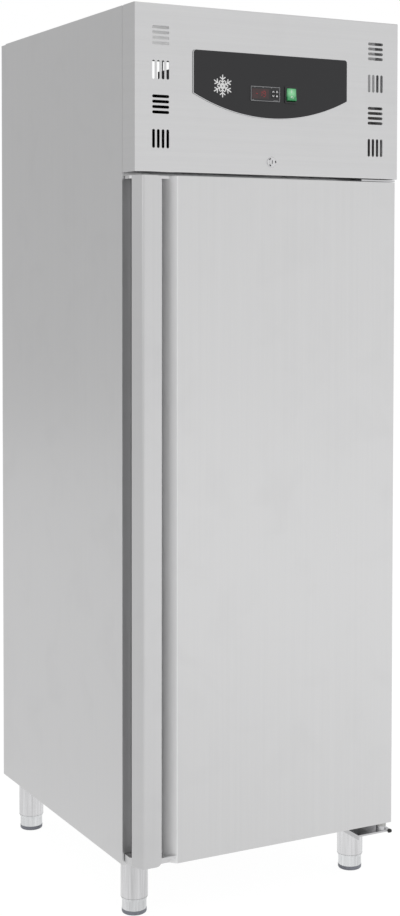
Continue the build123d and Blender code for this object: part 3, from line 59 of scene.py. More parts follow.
def meshPiece(name, points, faces, smooth=True):
    # points are rows of x, y, z in metres; doubles at seams and poles are merged
    near = {"double": 1e-6, "degenerate": 1e-7}
    mesh = bpy.data.meshes.new(name)
    mesh.from_pydata(np.asarray(points, float).reshape(-1, 3).tolist(), [], faces)
    work = bmesh.new()
    work.from_mesh(mesh)
    bmesh.ops.remove_doubles(work, verts=work.verts, dist=near["double"])
    bmesh.ops.dissolve_degenerate(work, edges=work.edges, dist=near["degenerate"])
    bmesh.ops.recalc_face_normals(work, faces=work.faces)
    work.to_mesh(mesh)
    work.free()
    mesh.polygons.foreach_set("use_smooth", np.full(len(mesh.polygons), smooth))
    mesh.update()
    return linkPiece(name, mesh)


def gridFaces(rows, columns, wrapRows=False, wrapColumns=False):
    # quads between neighbouring lines of a grid; a wrapped side joins its last line to its first
    r, c = np.meshgrid(
        np.arange(rows if wrapRows else rows - 1),
        np.arange(columns if wrapColumns else columns - 1),
        indexing="ij",
    )
    r, c = r.ravel(), c.ravel()
    rNext, cNext = (r + 1) % rows, (c + 1) % columns
    corners = [r * columns + c, rNext * columns + c, rNext * columns + cNext, r * columns + cNext]
    return np.stack(corners, 1)


def repeatFaces(faces, count, step):
    # the same faces once for each of count copies, whose points are step apart in the list
    starts = np.arange(count)[:, None, None] * step
    return (np.asarray(faces)[None] + starts).reshape(-1, faces.shape[1])


def platePiece(name, outlines, yFront, yBack):
    # thin plates from flat outlines (n, k, 2) in X and Z: each outline is a ring at the front
    # and a ring at the back, with quads round its edge and one face at each end; outlines may
    # cross, so each stands a step apart from the next and no two faces share a plane
    apart = {"step": 0.008 * mm, "levels": 7}
    outlines = np.asarray(outlines, float)
    n, k = outlines.shape[:2]
    level = (np.arange(n) % apart["levels"] * apart["step"])[:, None] + np.zeros((1, k))
    front = np.stack([outlines[:, :, 0], yFront - level, outlines[:, :, 1]], 2)
    back = np.stack([outlines[:, :, 0], yBack + level, outlines[:, :, 1]], 2)
    points = np.stack([front, back], 1)
    sides = repeatFaces(gridFaces(2, k, wrapColumns=True), n, 2 * k)
    starts = np.arange(n)[:, None] * 2 * k
    caps = np.concatenate([starts + np.arange(k)[None], starts + k + np.arange(k)[None, ::-1]])
    return meshPiece(name, points, sides.tolist() + caps.tolist(), smooth=False)


def boxPiece(name, lows, highs):
    # many upright boxes: a corner takes each axis from the low or the high point by its row of pick
    lows, highs = np.asarray(lows, float), np.asarray(highs, float)
    pick = np.array([(x, y, z) for z in (0, 1) for x, y in ((0, 0), (1, 0), (1, 1), (0, 1))])
    points = np.where(pick[None] == 1, highs[:, None], lows[:, None])
    walls = [(k, (k + 1) % 4, (k + 1) % 4 + 4, k + 4) for k in range(4)]
    sides = np.array([(0, 3, 2, 1), (4, 5, 6, 7), *walls])
    return meshPiece(name, points, repeatFaces(sides, len(lows), len(pick)).tolist(), smooth=False)


def tubePoints(path, radius, sides, axis, closed=False):
    # a round wire: each path point plus radius times (cos a * sideways + sin a * upright), where
    # sideways stands square to the path and to axis; an open wire ends in two poles
    path = np.asarray(path, float)
    if closed:
        along = np.roll(path, -1, 0) - np.roll(path, 1, 0)
    else:
        along = np.gradient(path, axis=0)
    sideways = np.cross(along, np.asarray(axis, float))
    sideways /= np.linalg.norm(sideways, axis=1)[:, None]
    upright = np.cross(sideways, along)
    upright /= np.linalg.norm(upright, axis=1)[:, None]
    radii = np.full(len(path), radius)
    if not closed:
        path, sideways, upright = (np.concatenate([a[:1], a, a[-1:]]) for a in (path, sideways, upright))
        radii = np.concatenate([[0.0], radii, [0.0]])
    turn = np.linspace(0, 2 * np.pi, sides, endpoint=False)[None, :, None]
    ring = np.cos(turn) * sideways[:, None] + np.sin(turn) * upright[:, None]
    return path[:, None] + radii[:, None, None] * ring


def joinTubes(name, tubes):
    # one piece from several wires, each an array of rings and whether its path is closed
    points, faces, start = [], [], 0
    for rings, closed in tubes:
        points.append(rings.reshape(-1, 3))
        faces += (gridFaces(rings.shape[0], rings.shape[1], closed, True) + start).tolist()
        start += rings.shape[0] * rings.shape[1]
    return meshPiece(name, np.concatenate(points), faces)


def capsules(segments, width, steps=5):
    # outlines with round ends about each segment (n, 2, 2): a half circle at either end
    segments = np.asarray(segments, float)
    away = segments[:, 1] - segments[:, 0]
    turn = np.arctan2(away[:, 1], away[:, 0])[:, None] + np.linspace(-np.pi / 2, np.pi / 2, steps)[None]
    halfCircle = width / 2 * np.stack([np.cos(turn), np.sin(turn)], 2)
    return np.concatenate([segments[:, 1, None] + halfCircle, segments[:, 0, None] - halfCircle], 1)


def dressed(piece, body, material):
    piece.data.materials.append(material)
    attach(piece, body)
    return piece


# Shader helpers

def setInputs(tree, node, values):
    # a socket is linked, and any other value is set on the input itself
    for key, value in values.items():
        if isinstance(value, bpy.types.NodeSocket):
            tree.links.new(value, node.inputs[key])
        else:
            node.inputs[key].default_value = value


def addNode(tree, kind, values=None, **settings):
    node = tree.nodes.new(kind)
    for key, value in settings.items():
        setattr(node, key, value)
    setInputs(tree, node, values or {})
    return node


def addMath(tree, operation, *values):
    return addNode(tree, "ShaderNodeMath", dict(enumerate(values)), operation=operation).outputs[0]


def addRange(tree, value, fromMin, fromMax, toMin, toMax):
    values = {"Value": value, "From Min": fromMin, "From Max": fromMax, "To Min": toMin, "To Max": toMax}
    return addNode(tree, "ShaderNodeMapRange", values).outputs[0]


def addMix(tree, factor, first, second):
    return addNode(tree, "ShaderNodeMix", {0: factor, 6: first, 7: second}, data_type="RGBA").outputs[2]


def addScaled(tree, vector, scale):
    return addNode(tree, "ShaderNodeVectorMath", {0: vector, "Scale": scale}, operation="SCALE").outputs[0]


def addNoise(tree, point, scale, detail, distortion=0.0):
    values = {"Vector": point, "Scale": scale, "Detail": detail, "Distortion": distortion}
    return addNode(tree, "ShaderNodeTexNoise", values).outputs[0]


def spreadNoise(tree, noise, low, high):
    # noise lies mostly between 0.3 and 0.7, and that span becomes low to high
    return addRange(tree, noise, 0.3, 0.7, low, high)


def addBump(tree, height, strength, depth):
    inputs = {"Height": height, "Strength": strength, "Distance": depth}
    return addNode(tree, "ShaderNodeBump", inputs).outputs[0]


def axisOf(tree, vector, axis):
    return addNode(tree, "ShaderNodeSeparateXYZ", {0: vector}).outputs[axis]


def newGroup(name, inputs, outputs):
    group = bpy.data.node_groups.new(name, "ShaderNodeTree")
    for label, value in inputs.items():
        kind = {float: "NodeSocketFloat", tuple: "NodeSocketVector", list: "NodeSocketColor"}[type(value)]
        group.interface.new_socket(label, in_out="INPUT", socket_type=kind).default_value = value
    for label, kind in outputs.items():
        group.interface.new_socket(label, in_out="OUTPUT", socket_type="NodeSocket" + kind)
    return group, addNode(group, "NodeGroupInput"), addNode(group, "NodeGroupOutput")


def objectPoint(tree):
    return addNode(tree, "ShaderNodeTexCoord").outputs["Object"]


finishOutputs = {"Color": "Color", "Roughness": "Float", "Height": "Float"}
coverOutputs = {"Color": "Color", "Roughness": "Float"}


def brushedGroup():
    # fine and broad streaks along the long axis of the stretched noise, over slow clouds of tone
    look = {"broadScale": 0.11, "cloudScale": 2.2, "roughByStreak": 0.12, "roughByCloud": 0.08}
    inputs = {"Tone": [1, 1, 1, 1], "Stretch": (1.0, 1.0, 1.0)}
    inputs.update({"Streak": 0.1, "Cloud": 0.1, "Roughness": 0.3})
    group, given, result = newGroup("brushedGrain", inputs, finishOutputs)
    given = given.outputs
    point = objectPoint(group)
    scales = {0: point, 1: given["Stretch"]}
    stretched = addNode(group, "ShaderNodeVectorMath", scales, operation="MULTIPLY")
    fine = addNoise(group, stretched.outputs[0], 1.0, 4.0)
    broad = addNoise(group, stretched.outputs[0], look["broadScale"], 2.0)
    cloud = addNoise(group, point, look["cloudScale"], 3.0)
    streak = addMath(group, "SUBTRACT", addMath(group, "ADD", fine, broad), 1.0)
    slow = addMath(group, "SUBTRACT", cloud, 0.5)
    light = addMath(group, "MULTIPLY_ADD", streak, given["Streak"], 1.0)
    light = addMath(group, "MULTIPLY_ADD", slow, given["Cloud"], light)
    rough = addMath(group, "MULTIPLY_ADD", streak, look["roughByStreak"], given["Roughness"])
    rough = addMath(group, "MULTIPLY_ADD", slow, look["roughByCloud"], rough)
    tone = addScaled(group, given["Tone"], light)
    setInputs(group, result, {"Color": tone, "Roughness": rough, "Height": fine})
    return group


def handledGroup():
    # soft smears that fingers and cloths leave: a little darker and duller in patches
    smear = {"scale": 9.0, "from": 0.52, "full": 0.72, "darker": 0.86, "duller": 0.25, "wander": 0.6}
    inputs = {"Color": [1, 1, 1, 1], "Roughness": 0.3, "Amount": 0.3}
    group, given, result = newGroup("handled", inputs, coverOutputs)
    given = given.outputs
    patch = addNoise(group, objectPoint(group), smear["scale"], 5.0, smear["wander"])
    mask = addRange(group, patch, smear["from"], smear["full"], 0.0, 1.0)
    mask = addMath(group, "MULTIPLY", mask, given["Amount"])
    color = addMix(group, mask, given["Color"], addScaled(group, given["Color"], smear["darker"]))
    rough = addMath(group, "MULTIPLY_ADD", mask, smear["duller"], given["Roughness"])
    setInputs(group, result, {"Color": color, "Roughness": rough})
    return group


def dustGroup():
    # dust lies where the surface looks up: the normal's Z, broken up by noise
    film = {"scale": 60.0, "tone": (0.42, 0.40, 0.37, 1), "from": 0.5, "thinnest": 0.2, "duller": 0.5}
    inputs = {"Color": [1, 1, 1, 1], "Roughness": 0.3, "Amount": 0.4}
    group, given, result = newGroup("settledDust", inputs, coverOutputs)
    given = given.outputs
    up = axisOf(group, addNode(group, "ShaderNodeNewGeometry").outputs["Normal"], "Z")
    specks = addNoise(group, objectPoint(group), film["scale"], 8.0)
    mask = addMath(group, "MULTIPLY", addRange(group, up, film["from"], 1.0, 0.0, 1.0), given["Amount"])
    mask = addMath(group, "MULTIPLY", mask, spreadNoise(group, specks, film["thinnest"], 1.0))
    color = addMix(group, mask, given["Color"], film["tone"])
    rough = addMath(group, "MULTIPLY_ADD", mask, film["duller"], given["Roughness"])
    setInputs(group, result, {"Color": color, "Roughness": rough})
    return group


def mouldedGroup():
    # the fine pitted skin of moulded plastic: small cells and noise, with a slow change of tone
    look = {"cloudScale": 35.0, "roughByCloud": 0.2}
    inputs = {"Tone": [1, 1, 1, 1], "Scale": 900.0, "Variation": 0.1, "Roughness": 0.4}
    group, given, result = newGroup("mouldedSkin", inputs, finishOutputs)
    given = given.outputs
    point = objectPoint(group)
    pits = addNode(group, "ShaderNodeTexVoronoi", {"Vector": point, "Scale": given["Scale"]})
    slow = addMath(group, "SUBTRACT", addNoise(group, point, look["cloudScale"], 4.0), 0.5)
    tone = addScaled(group, given["Tone"], addMath(group, "MULTIPLY_ADD", slow, given["Variation"], 1.0))
    rough = addMath(group, "MULTIPLY_ADD", slow, look["roughByCloud"], given["Roughness"])
    setInputs(group, result, {"Color": tone, "Roughness": rough, "Height": pits.outputs["Distance"]})
    return group


def spangleGroup():
    # zinc crystals: each cell has its own tone and sheen
    look = {"roughByCell": 0.2}
    inputs = {"Tone": [1, 1, 1, 1], "Scale": 90.0, "Contrast": 0.25, "Roughness": 0.4}
    group, given, result = newGroup("zincSpangle", inputs, finishOutputs)
    given = given.outputs
    cells = addNode(group, "ShaderNodeTexVoronoi", {"Vector": objectPoint(group), "Scale": given["Scale"]})
    shade = addNode(group, "ShaderNodeSeparateColor", {0: cells.outputs["Color"]}).outputs[0]
    shade = addMath(group, "SUBTRACT", shade, 0.5)
    tone = addScaled(group, given["Tone"], addMath(group, "MULTIPLY_ADD", shade, given["Contrast"], 1.0))
    rough = addMath(group, "MULTIPLY_ADD", shade, look["roughByCell"], given["Roughness"])
    setInputs(group, result, {"Color": tone, "Roughness": rough, "Height": cells.outputs["Distance"]})
    return group


grain = brushedGroup()
handled = handledGroup()
dust = dustGroup()
moulded = mouldedGroup()
spangle = spangleGroup()


# Materials

def startMaterial(name):
    material = bpy.data.materials.new(name)
    material.use_nodes = True
    return material, material.node_tree, material.node_tree.nodes["Principled BSDF"]


def placeGroup(tree, group, values):
    return addNode(tree, "ShaderNodeGroup", values, node_tree=group)


def joinFinish(tree, shader, base, metallic, bump, smears=0.0, settled=0.0):
    # colour, roughness and height come from the base group, then smears and dust go over them;
    # bump holds its strength and its depth
    color, rough = base.outputs["Color"], base.outputs["Roughness"]
    for cover, amount in ((handled, smears), (dust, settled)):
        if amount:
            over = placeGroup(tree, cover, {"Color": color, "Roughness": rough, "Amount": amount})
            color, rough = over.outputs["Color"], over.outputs["Roughness"]
    raised = addBump(tree, base.outputs["Height"], *bump)
    setInputs(tree, shader, {"Base Color": color, "Roughness": rough})
    setInputs(tree, shader, {"Normal": raised, "Metallic": metallic})


def steel(name, tone, stretch, roughness, streak, cloud, smears=0.0, settled=0.0):
    material, tree, shader = startMaterial(name)
    values = {"Tone": (*tone, 1), "Stretch": stretch}
    values.update({"Streak": streak, "Cloud": cloud, "Roughness": roughness})
    joinFinish(tree, shader, placeGroup(tree, grain, values), 1.0, steelBump, smears, settled)
    return material


def plastic(name, tone, roughness, scale=900.0, variation=0.12, bump=0.25, settled=0.0, depth=0.0002):
    material, tree, shader = startMaterial(name)
    values = {"Tone": (*tone, 1), "Scale": scale, "Variation": variation, "Roughness": roughness}
    joinFinish(tree, shader, placeGroup(tree, moulded, values), 0.0, (bump, depth), settled=settled)
    return material


steelBump = (0.25, 0.00006)
uprightGrain = (900.0, 900.0, 7.0)  # how often the grain changes along X, Y and Z in a metre
levelGrain = (7.0, 7.0, 900.0)
turnedGrain = (210.0, 210.0, 9.0)
steelTone = (0.70, 0.70, 0.705)

# each row: name, tone, grain, roughness, streaks, clouds, smears, dust
steels = {
    "upright": ("steel_upright_grain", steelTone, uprightGrain, 0.33, 0.06, 0.06, 0.10, 0.10),
    "level": ("steel_level_grain", steelTone, levelGrain, 0.33, 0.07, 0.08, 0.10, 0.12),
    "grip": ("steel_grip", (0.67, 0.67, 0.675), uprightGrain, 0.36, 0.06, 0.06, 0.15),
    "liner": ("steel_liner", (0.70, 0.71, 0.72), uprightGrain, 0.26, 0.07, 0.08, 0.08),
    "inside": ("steel_inside_parts", (0.62, 0.63, 0.64), uprightGrain, 0.30, 0.12, 0.12),
    "bright": ("steel_bright_tube", (0.72, 0.72, 0.73), turnedGrain, 0.18, 0.6, 0.3, 0.2),
    "wire": ("steel_shelf_wire", (0.72, 0.73, 0.74), (60.0, 60.0, 60.0), 0.18, 0.10, 0.10),
    "bracket": ("steel_bracket", (0.60, 0.60, 0.61), levelGrain, 0.30, 0.14, 0.12),
    "deck": ("steel_deck", (0.60, 0.61, 0.62), levelGrain, 0.36, 0.12, 0.15, 0.0, 0.5),
    "chrome": ("chrome_lock", (0.70, 0.70, 0.71), (300.0, 300.0, 300.0), 0.24, 0.06, 0.06),
    "aluminium": ("aluminium_fins", (0.72, 0.73, 0.74), (40.0, 40.0, 500.0), 0.34, 0.12, 0.14, 0.0, 0.35),
    "copper": ("copper_pipe", (0.72, 0.36, 0.22), (300.0, 300.0, 60.0), 0.25, 0.16, 0.25, 0.5),
    "screw": ("steel_screw", (0.66, 0.66, 0.67), (400.0, 400.0, 400.0), 0.22, 0.15, 0.10),
    "trim": ("bright_trim", (0.66, 0.66, 0.67), (300.0, 300.0, 300.0), 0.25, 0.08, 0.08),
}

# each row: name, tone, roughness, pits in a metre, variation of tone, bump, dust, depth of bump
plastics = {
    "breaker": ("grey_breaker_plastic", (0.43, 0.44, 0.45), 0.42),
    "nylon": ("nylon_bush", (0.62, 0.62, 0.60), 0.35),
    "boxPlastic": ("grey_box_plastic", (0.30, 0.31, 0.32), 0.45, 700.0, 0.12, 0.25, 0.5),
    "black": ("black_plastic", (0.022, 0.022, 0.024), 0.34, 1100.0, 0.3),
    "grommet": ("black_rubber", (0.025, 0.025, 0.025), 0.62, 600.0, 0.4),
    "gasket": ("gasket_vinyl", (0.50, 0.51, 0.52), 0.5, 700.0, 0.15),
    # painted shade: the condenser's fins and shroud made near black for the dark inside of the cooling unit
    "shadeBlack": ("painted_shade_black_fins", (0.030, 0.030, 0.032), 0.45, 500.0, 0.4, 0.25, 0.25),
    "enamel": ("black_enamel", (0.018, 0.018, 0.020), 0.24, 500.0, 0.3, 0.25, 0.35),
    "fascia": ("fascia_film", (0.014, 0.014, 0.016), 0.45, 1400.0, 0.15, 0.12),
    "key": ("key_rubber", (0.030, 0.030, 0.032), 0.5, 1200.0, 0.2),
    "ink": ("white_ink", (0.86, 0.86, 0.86), 0.5, 1500.0, 0.05, 0.1),
    "dimInk": ("grey_ink", (0.50, 0.50, 0.52), 0.5, 1500.0, 0.05, 0.1),
    "foam": ("foam_core", (0.76, 0.66, 0.42), 0.85, 1500.0, 0.35, 0.6, 0.0, 0.0006),
}
materials = {key: steel(*row) for key, row in steels.items()}
materials.update((key, plastic(*row)) for key, row in plastics.items())


def galvanisedSheet():
    zinc = {"Tone": (0.55, 0.57, 0.59, 1), "Scale": 170.0, "Contrast": 0.16, "Roughness": 0.38}
    material, tree, shader = startMaterial("galvanised_sheet")
    joinFinish(tree, shader, placeGroup(tree, spangle, zinc), 1.0, (0.15, 0.0001), settled=0.35)
    return material


def doorSteelPaintedLight():
    # brushed steel whose tone and roughness change from zone to zone across X: painted shade
    # darkens the skin behind the grip's flange and a painted highlight lightens the slope beside it;
    # a zone starts at left and fades in over a short way
    skin = {"fade": 2 * mm, "blue": 1.005, "streak": 0.06, "cloud": 0.06, "smears": 0.10}
    paintedLightZones = [
        # painted shade: the skin left of the slope, behind the grip's flange, darkened
        {"left": -340 * mm, "tone": 0.34, "roughness": 0.40},
        # painted highlight: the grip's slope, lightened and dulled
        {"left": -268 * mm, "tone": 0.96, "roughness": 0.66},
        {"left": -236 * mm, "tone": 0.70, "roughness": 0.33},
    ]
    material, tree, shader = startMaterial("steel_door_skin_painted_light")
    across = axisOf(tree, objectPoint(tree), "X")
    tones = [(zone["tone"], zone["tone"], zone["tone"] * skin["blue"], 1) for zone in paintedLightZones]
    tone, rough = tones[0], paintedLightZones[0]["roughness"]
    for zone, own in zip(paintedLightZones[1:], tones[1:]):
        left, half = zone["left"], skin["fade"] / 2
        inside = addRange(tree, across, left - half, left + half, 0.0, 1.0)
        tone = addMix(tree, inside, tone, own)
        rough = addNode(tree, "ShaderNodeMix", {0: inside, 2: rough, 3: zone["roughness"]}).outputs[0]
    values = {"Tone": tone, "Stretch": uprightGrain, "Roughness": rough}
    values.update({"Streak": skin["streak"], "Cloud": skin["cloud"]})
    joinFinish(tree, shader, placeGroup(tree, grain, values), 1.0, steelBump, skin["smears"])
    return material


def windowMaterial():
    # smoked window: near black, a little redder in patches
    smoke = {"dark": (0.020, 0.004, 0.005, 1), "red": (0.050, 0.008, 0.010, 1), "scale": 120.0, "coat": 0.5}
    material, tree, shader = startMaterial("smoked_window")
    cloud = addNoise(tree, objectPoint(tree), smoke["scale"], 3.0)
    setInputs(tree, shader, {
        "Base Color": addMix(tree, spreadNoise(tree, cloud, 0.0, 1.0), smoke["dark"], smoke["red"]),
        "Roughness": spreadNoise(tree, cloud, 0.10, 0.20),
        "Normal": addBump(tree, cloud, 0.05, 0.0001),
        "Coat Weight": smoke["coat"],
    })
    return material


def rockerMaterial():
    # clear green plastic with a lamp behind: the glow fades away from a point above the middle
    glow = {
        "centre": (48.5 * mm, -401 * mm, 1853 * mm),
        "reach": 16 * mm,
        "core": 2 * mm,
        "mottle": 0.25,
        "scale": 260.0,
        "tints": ((0.050, 0.32, 0.12, 1), (0.26, 0.62, 0.34, 1)),
        "shines": ((0.005, 0.04, 0.012, 1), (0.20, 0.40, 0.22, 1)),
        "strength": 0.7,
    }
    material, tree, shader = startMaterial("lit_green_rocker")
    point = objectPoint(tree)
    away = addNode(tree, "ShaderNodeVectorMath", {0: point, 1: glow["centre"]}, operation="DISTANCE")
    near = addRange(tree, away.outputs["Value"], glow["reach"], glow["core"], 0.0, 1.0)
    cloud = addNoise(tree, point, glow["scale"], 4.0)
    near = addMath(tree, "MULTIPLY_ADD", addMath(tree, "SUBTRACT", cloud, 0.5), glow["mottle"], near)
    setInputs(tree, shader, {
        "Base Color": addMix(tree, near, *glow["tints"]),
        "Emission Color": addMix(tree, near, *glow["shines"]),
        "Roughness": spreadNoise(tree, cloud, 0.18, 0.30),
        "Normal": addBump(tree, cloud, 0.08, 0.0002),
        "Emission Strength": glow["strength"],
    })
    return material


def footMaterial():
    # bright turned steel above the pad's height, grey-blue moulded plastic below it
    foot = {"padHeight": 10 * mm, "bump": (0.3, 0.00006)}
    pad = {"Tone": (0.27, 0.28, 0.32, 1), "Scale": 800.0, "Variation": 0.2, "Roughness": 0.45}
    stem = {
        "Tone": (0.72, 0.73, 0.74, 1),
        "Stretch": turnedGrain,
        "Streak": 0.6,
        "Cloud": 0.3,
        "Roughness": 0.18,
    }
    material, tree, shader = startMaterial("screw_foot")
    isSteel = addMath(tree, "GREATER_THAN", axisOf(tree, objectPoint(tree), "Z"), foot["padHeight"])
    below, above = placeGroup(tree, moulded, pad).outputs, placeGroup(tree, grain, stem).outputs
    setInputs(tree, shader, {
        "Base Color": addMix(tree, isSteel, below["Color"], above["Color"]),
        "Roughness": addMix(tree, isSteel, below["Roughness"], above["Roughness"]),
        "Normal": addBump(tree, above["Height"], *foot["bump"]),
        "Metallic": isSteel,
    })
    return material


def segmentMaterial():
    # dark red lamps behind the window
    lamp = {
        "tones": ((0.20, 0.012, 0.016, 1), (0.34, 0.020, 0.026, 1)),
        "scale": 400.0,
        "roughness": (0.3, 0.5),
        "strength": 0.25,
    }
    material, tree, shader = startMaterial("display_segment")
    cloud = addNoise(tree, objectPoint(tree), lamp["scale"], 2.0)
    shine = addMix(tree, cloud, *lamp["tones"])
    setInputs(tree, shader, {
        "Base Color": shine,
        "Emission Color": shine,
        "Roughness": spreadNoise(tree, cloud, *lamp["roughness"]),
        "Emission Strength": lamp["strength"],
    })
    return material


materials["galvanised"] = galvanisedSheet()
# door skin steel with painted shade and a painted highlight in zones across X
materials["doorSkin"] = doorSteelPaintedLight()
materials["window"] = windowMaterial()
materials["rocker"] = rockerMaterial()
materials["foot"] = footMaterial()
materials["segment"] = segmentMaterial()
print("materials made:", len(materials))

nodeFinish = {
    "upright": ["side_panel_left", "side_panel_right", "door_pan", "handle_caps", "top_cover"],
    "level": ["front_panel"],
    "grip": ["handle_channel"],
    "doorSkin": ["door_skin"],
    "liner": ["inner_liner"],
    "inside": ["rack_uprights", "shelf_runners"],
    "wire": ["shelf_1", "shelf_2", "shelf_3", "rear_guard"],
    "bright": ["leg_tubes"],
    "bracket": ["hinge_bracket_bottom", "hinge_bracket_top", "panel_hinges"],
    "deck": ["machine_deck", "bottom_panel"],
    "galvanised": ["rear_panel", "unit_base", "lock_cam"],
    "foam": ["insulation", "door_foam"],
    "breaker": ["breaker_frame"],
    "nylon": ["hinge_bushes", "drain_pipe"],
    "gasket": ["door_gasket"],
    "chrome": ["lock_body", "lock_plug"],
    # painted shade: condenser coil and shroud near black
    "shadeBlack": ["condenser_coil", "condenser_shroud"],
    "aluminium": ["evaporator_coil", "evaporator_cover", "drip_tray", "condenser_fan"],
    "copper": ["refrigerant_pipes", "filter_drier"],
    "enamel": ["compressor", "condenser_fan_motor", "evaporator_fan_motor"],
    "grommet": ["compressor_grommets"],
    "black": ["cable_gland", "evaporator_fan", "controller_body", "switch_bezel"],
    "boxPlastic": ["electrical_box"],
    "fascia": ["fascia_plate"],
    "window": ["controller_window"],
    "key": ["key_up", "key_set", "key_down", "key_defrost"],
    "rocker": ["switch_rocker"],
    "foot": ["foot_front_left", "foot_front_right", "foot_back_left", "foot_back_right"],
}
for finish, names in nodeFinish.items():
    for name in names:
        cadNodes[name].material_slots[0].material = materials[finish]
print("finishes given to", sum(len(names) for names in nodeFinish.values()), "parts")


# Print and trim on the control plate

def fasciaTrim():
    # bright edge round the plate: a flat ribbon that follows the plate's outline, its inner
    # edge the same outline drawn in by the ribbon's width
    trim = {
        "width": 1.5 * mm,
        "rise": 0.25 * mm,
        "corner": 8 * mm,
        "side": 96.5 * mm,
        "steps": 9,
        "arcSteps": 60,
    }
    low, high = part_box("fascia_plate")
    halfWidth, top, bottom = (high.x - low.x) / 2, high.z, low.z
    sagitta = top - trim["side"] - bottom
    arcRadius = (halfWidth**2 + sagitta**2) / (2 * sagitta)

    def outline(inset):
        corner, reach = trim["corner"] - inset, arcRadius - inset
        quarter = np.linspace(0, np.pi / 2, trim["steps"])
        x, z = halfWidth - inset - corner, top - inset - corner
        upper = np.stack([x + corner * np.sin(quarter), z + corner * np.cos(quarter)], 1)
        sweep = np.linspace(math.asin((halfWidth - inset) / reach), 0, trim["arcSteps"])
        lower = np.stack([reach * np.sin(sweep), bottom + arcRadius - reach * np.cos(sweep)], 1)
        half = np.concatenate([upper, lower])
        return np.concatenate([half, half[-2::-1] * [-1, 1]])

    outer, inner = outline(0.0), outline(trim["width"])
    front, back = low.y - trim["rise"], low.y + printSink
    rings = ((outer, back), (outer, front), (inner, front), (inner, back))
    rows = [np.insert(ring, 1, y, axis=1) for ring, y in rings]
    faces = gridFaces(len(rows), len(outer), wrapRows=True, wrapColumns=True)
    return meshPiece("fascia_trim", np.array(rows), faces.tolist(), smooth=False)


dressed(fasciaTrim(), "machine_panel", materials["trim"])


def snowflake():
    # six equal arms: a stem, two pairs of slanting twigs and a small diamond of short bars,
    # each bar an outline with round ends, turned by sixty degrees from arm to arm
    flake = {
        "x": -126.5 * mm,
        "z": 1860 * mm,
        "reach": 24.5 * mm,
        "bar": 2.5 * mm,
        "lift": 0.12 * mm,
        "lean": 55.0,
        "stem": (0.10, 0.98),
        "twigs": ((0.34, 0.26), (0.60, 0.30)),  # where each pair starts and how long it is
        "diamond": (0.20, 0.14),
    }
    reach, lean, stem = flake["reach"], math.radians(flake["lean"]), flake["stem"]
    lines = [((stem[0], 0), (stem[1], 0))]
    for at, length in flake["twigs"]:
        lines += [((at, 0), (at + length * math.cos(lean), s * length * math.sin(lean))) for s in (-1, 1)]
    lines += [((stem[0], 0), (flake["diamond"][0], s * flake["diamond"][1])) for s in (-1, 1)]
    arm = np.array(lines) * reach
    angles = np.radians(np.arange(6) * 60 + 90)
    cos, sin = np.cos(angles), np.sin(angles)
    turn = np.stack([np.stack([cos, sin], 1), np.stack([-sin, cos], 1)], 1)
    bars = np.einsum("npk,akj->anpj", arm, turn).reshape(-1, 2, 2) + [flake["x"], flake["z"]]
    outlines, face = capsules(bars, flake["bar"]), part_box("fascia_plate")[0].y
    return platePiece("snowflake_mark", outlines, face - flake["lift"], face + printSink)


dressed(snowflake(), "machine_panel", materials["ink"])


def displayDigits():
    # seven short bars a digit, pointed at both ends; letters say which bars of it are lit
    digits = {
        "height": 12 * mm,
        "width": 6.6 * mm,
        "bar": 1.3 * mm,
        "point": 0.6,
        "pitch": 9.4 * mm,
        "lift": 0.08 * mm,
        "lit": ("G", "BC", "ABCDFG"),
    }
    low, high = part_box("controller_window")
    h, w, t = digits["height"], digits["width"], digits["bar"]

    def bar(half):
        flat, tip = half - t, half - t * digits["point"]
        upper, lower = [(-tip, 0), (-flat, t / 2), (flat, t / 2)], [(tip, 0), (flat, -t / 2), (-flat, -t / 2)]
        return np.array(upper + lower)

    places = {letter: (0, z, bar(w / 2)) for letter, z in (("A", h / 2), ("G", 0), ("D", -h / 2))}
    for letter, x, z in (("B", w, h), ("C", w, -h), ("F", -w, h), ("E", -w, -h)):
        places[letter] = (x / 2, z / 4, bar(h / 4)[:, ::-1])
    outlines = []
    for i, lit in enumerate(digits["lit"]):
        middle = np.array([(low.x + high.x) / 2 + (i - 1) * digits["pitch"], (low.z + high.z) / 2])
        outlines += [places[letter][2] + places[letter][:2] + middle for letter in lit]
    return platePiece("display_digits", outlines, low.y - digits["lift"], low.y + printSink)


dressed(displayDigits(), "machine_panel", materials["segment"])


def ringSegments(centre, radius, count):
    # short bars in a circle
    turn = np.linspace(0, 2 * np.pi, count + 1)
    ring = np.stack([centre[0] + radius * np.cos(turn), centre[1] + radius * np.sin(turn)], 1)
    return np.stack([ring[:-1], ring[1:]], 1)


def frameSegments(low, high, inset):
    # the four sides of a rectangle as bars
    x0, x1, z0, z1 = low.x + inset, high.x - inset, low.z + inset, high.z - inset
    ring = np.array([(x0, z0), (x1, z0), (x1, z1), (x0, z1), (x0, z0)])
    return np.stack([ring[:-1], ring[1:]], 1)


def levelBars(starts, ends, z):
    # bars at one height, from each start to its end
    return np.stack([np.stack([np.asarray(x, float), np.full(len(x), z)], 1) for x in (starts, ends)], 1)


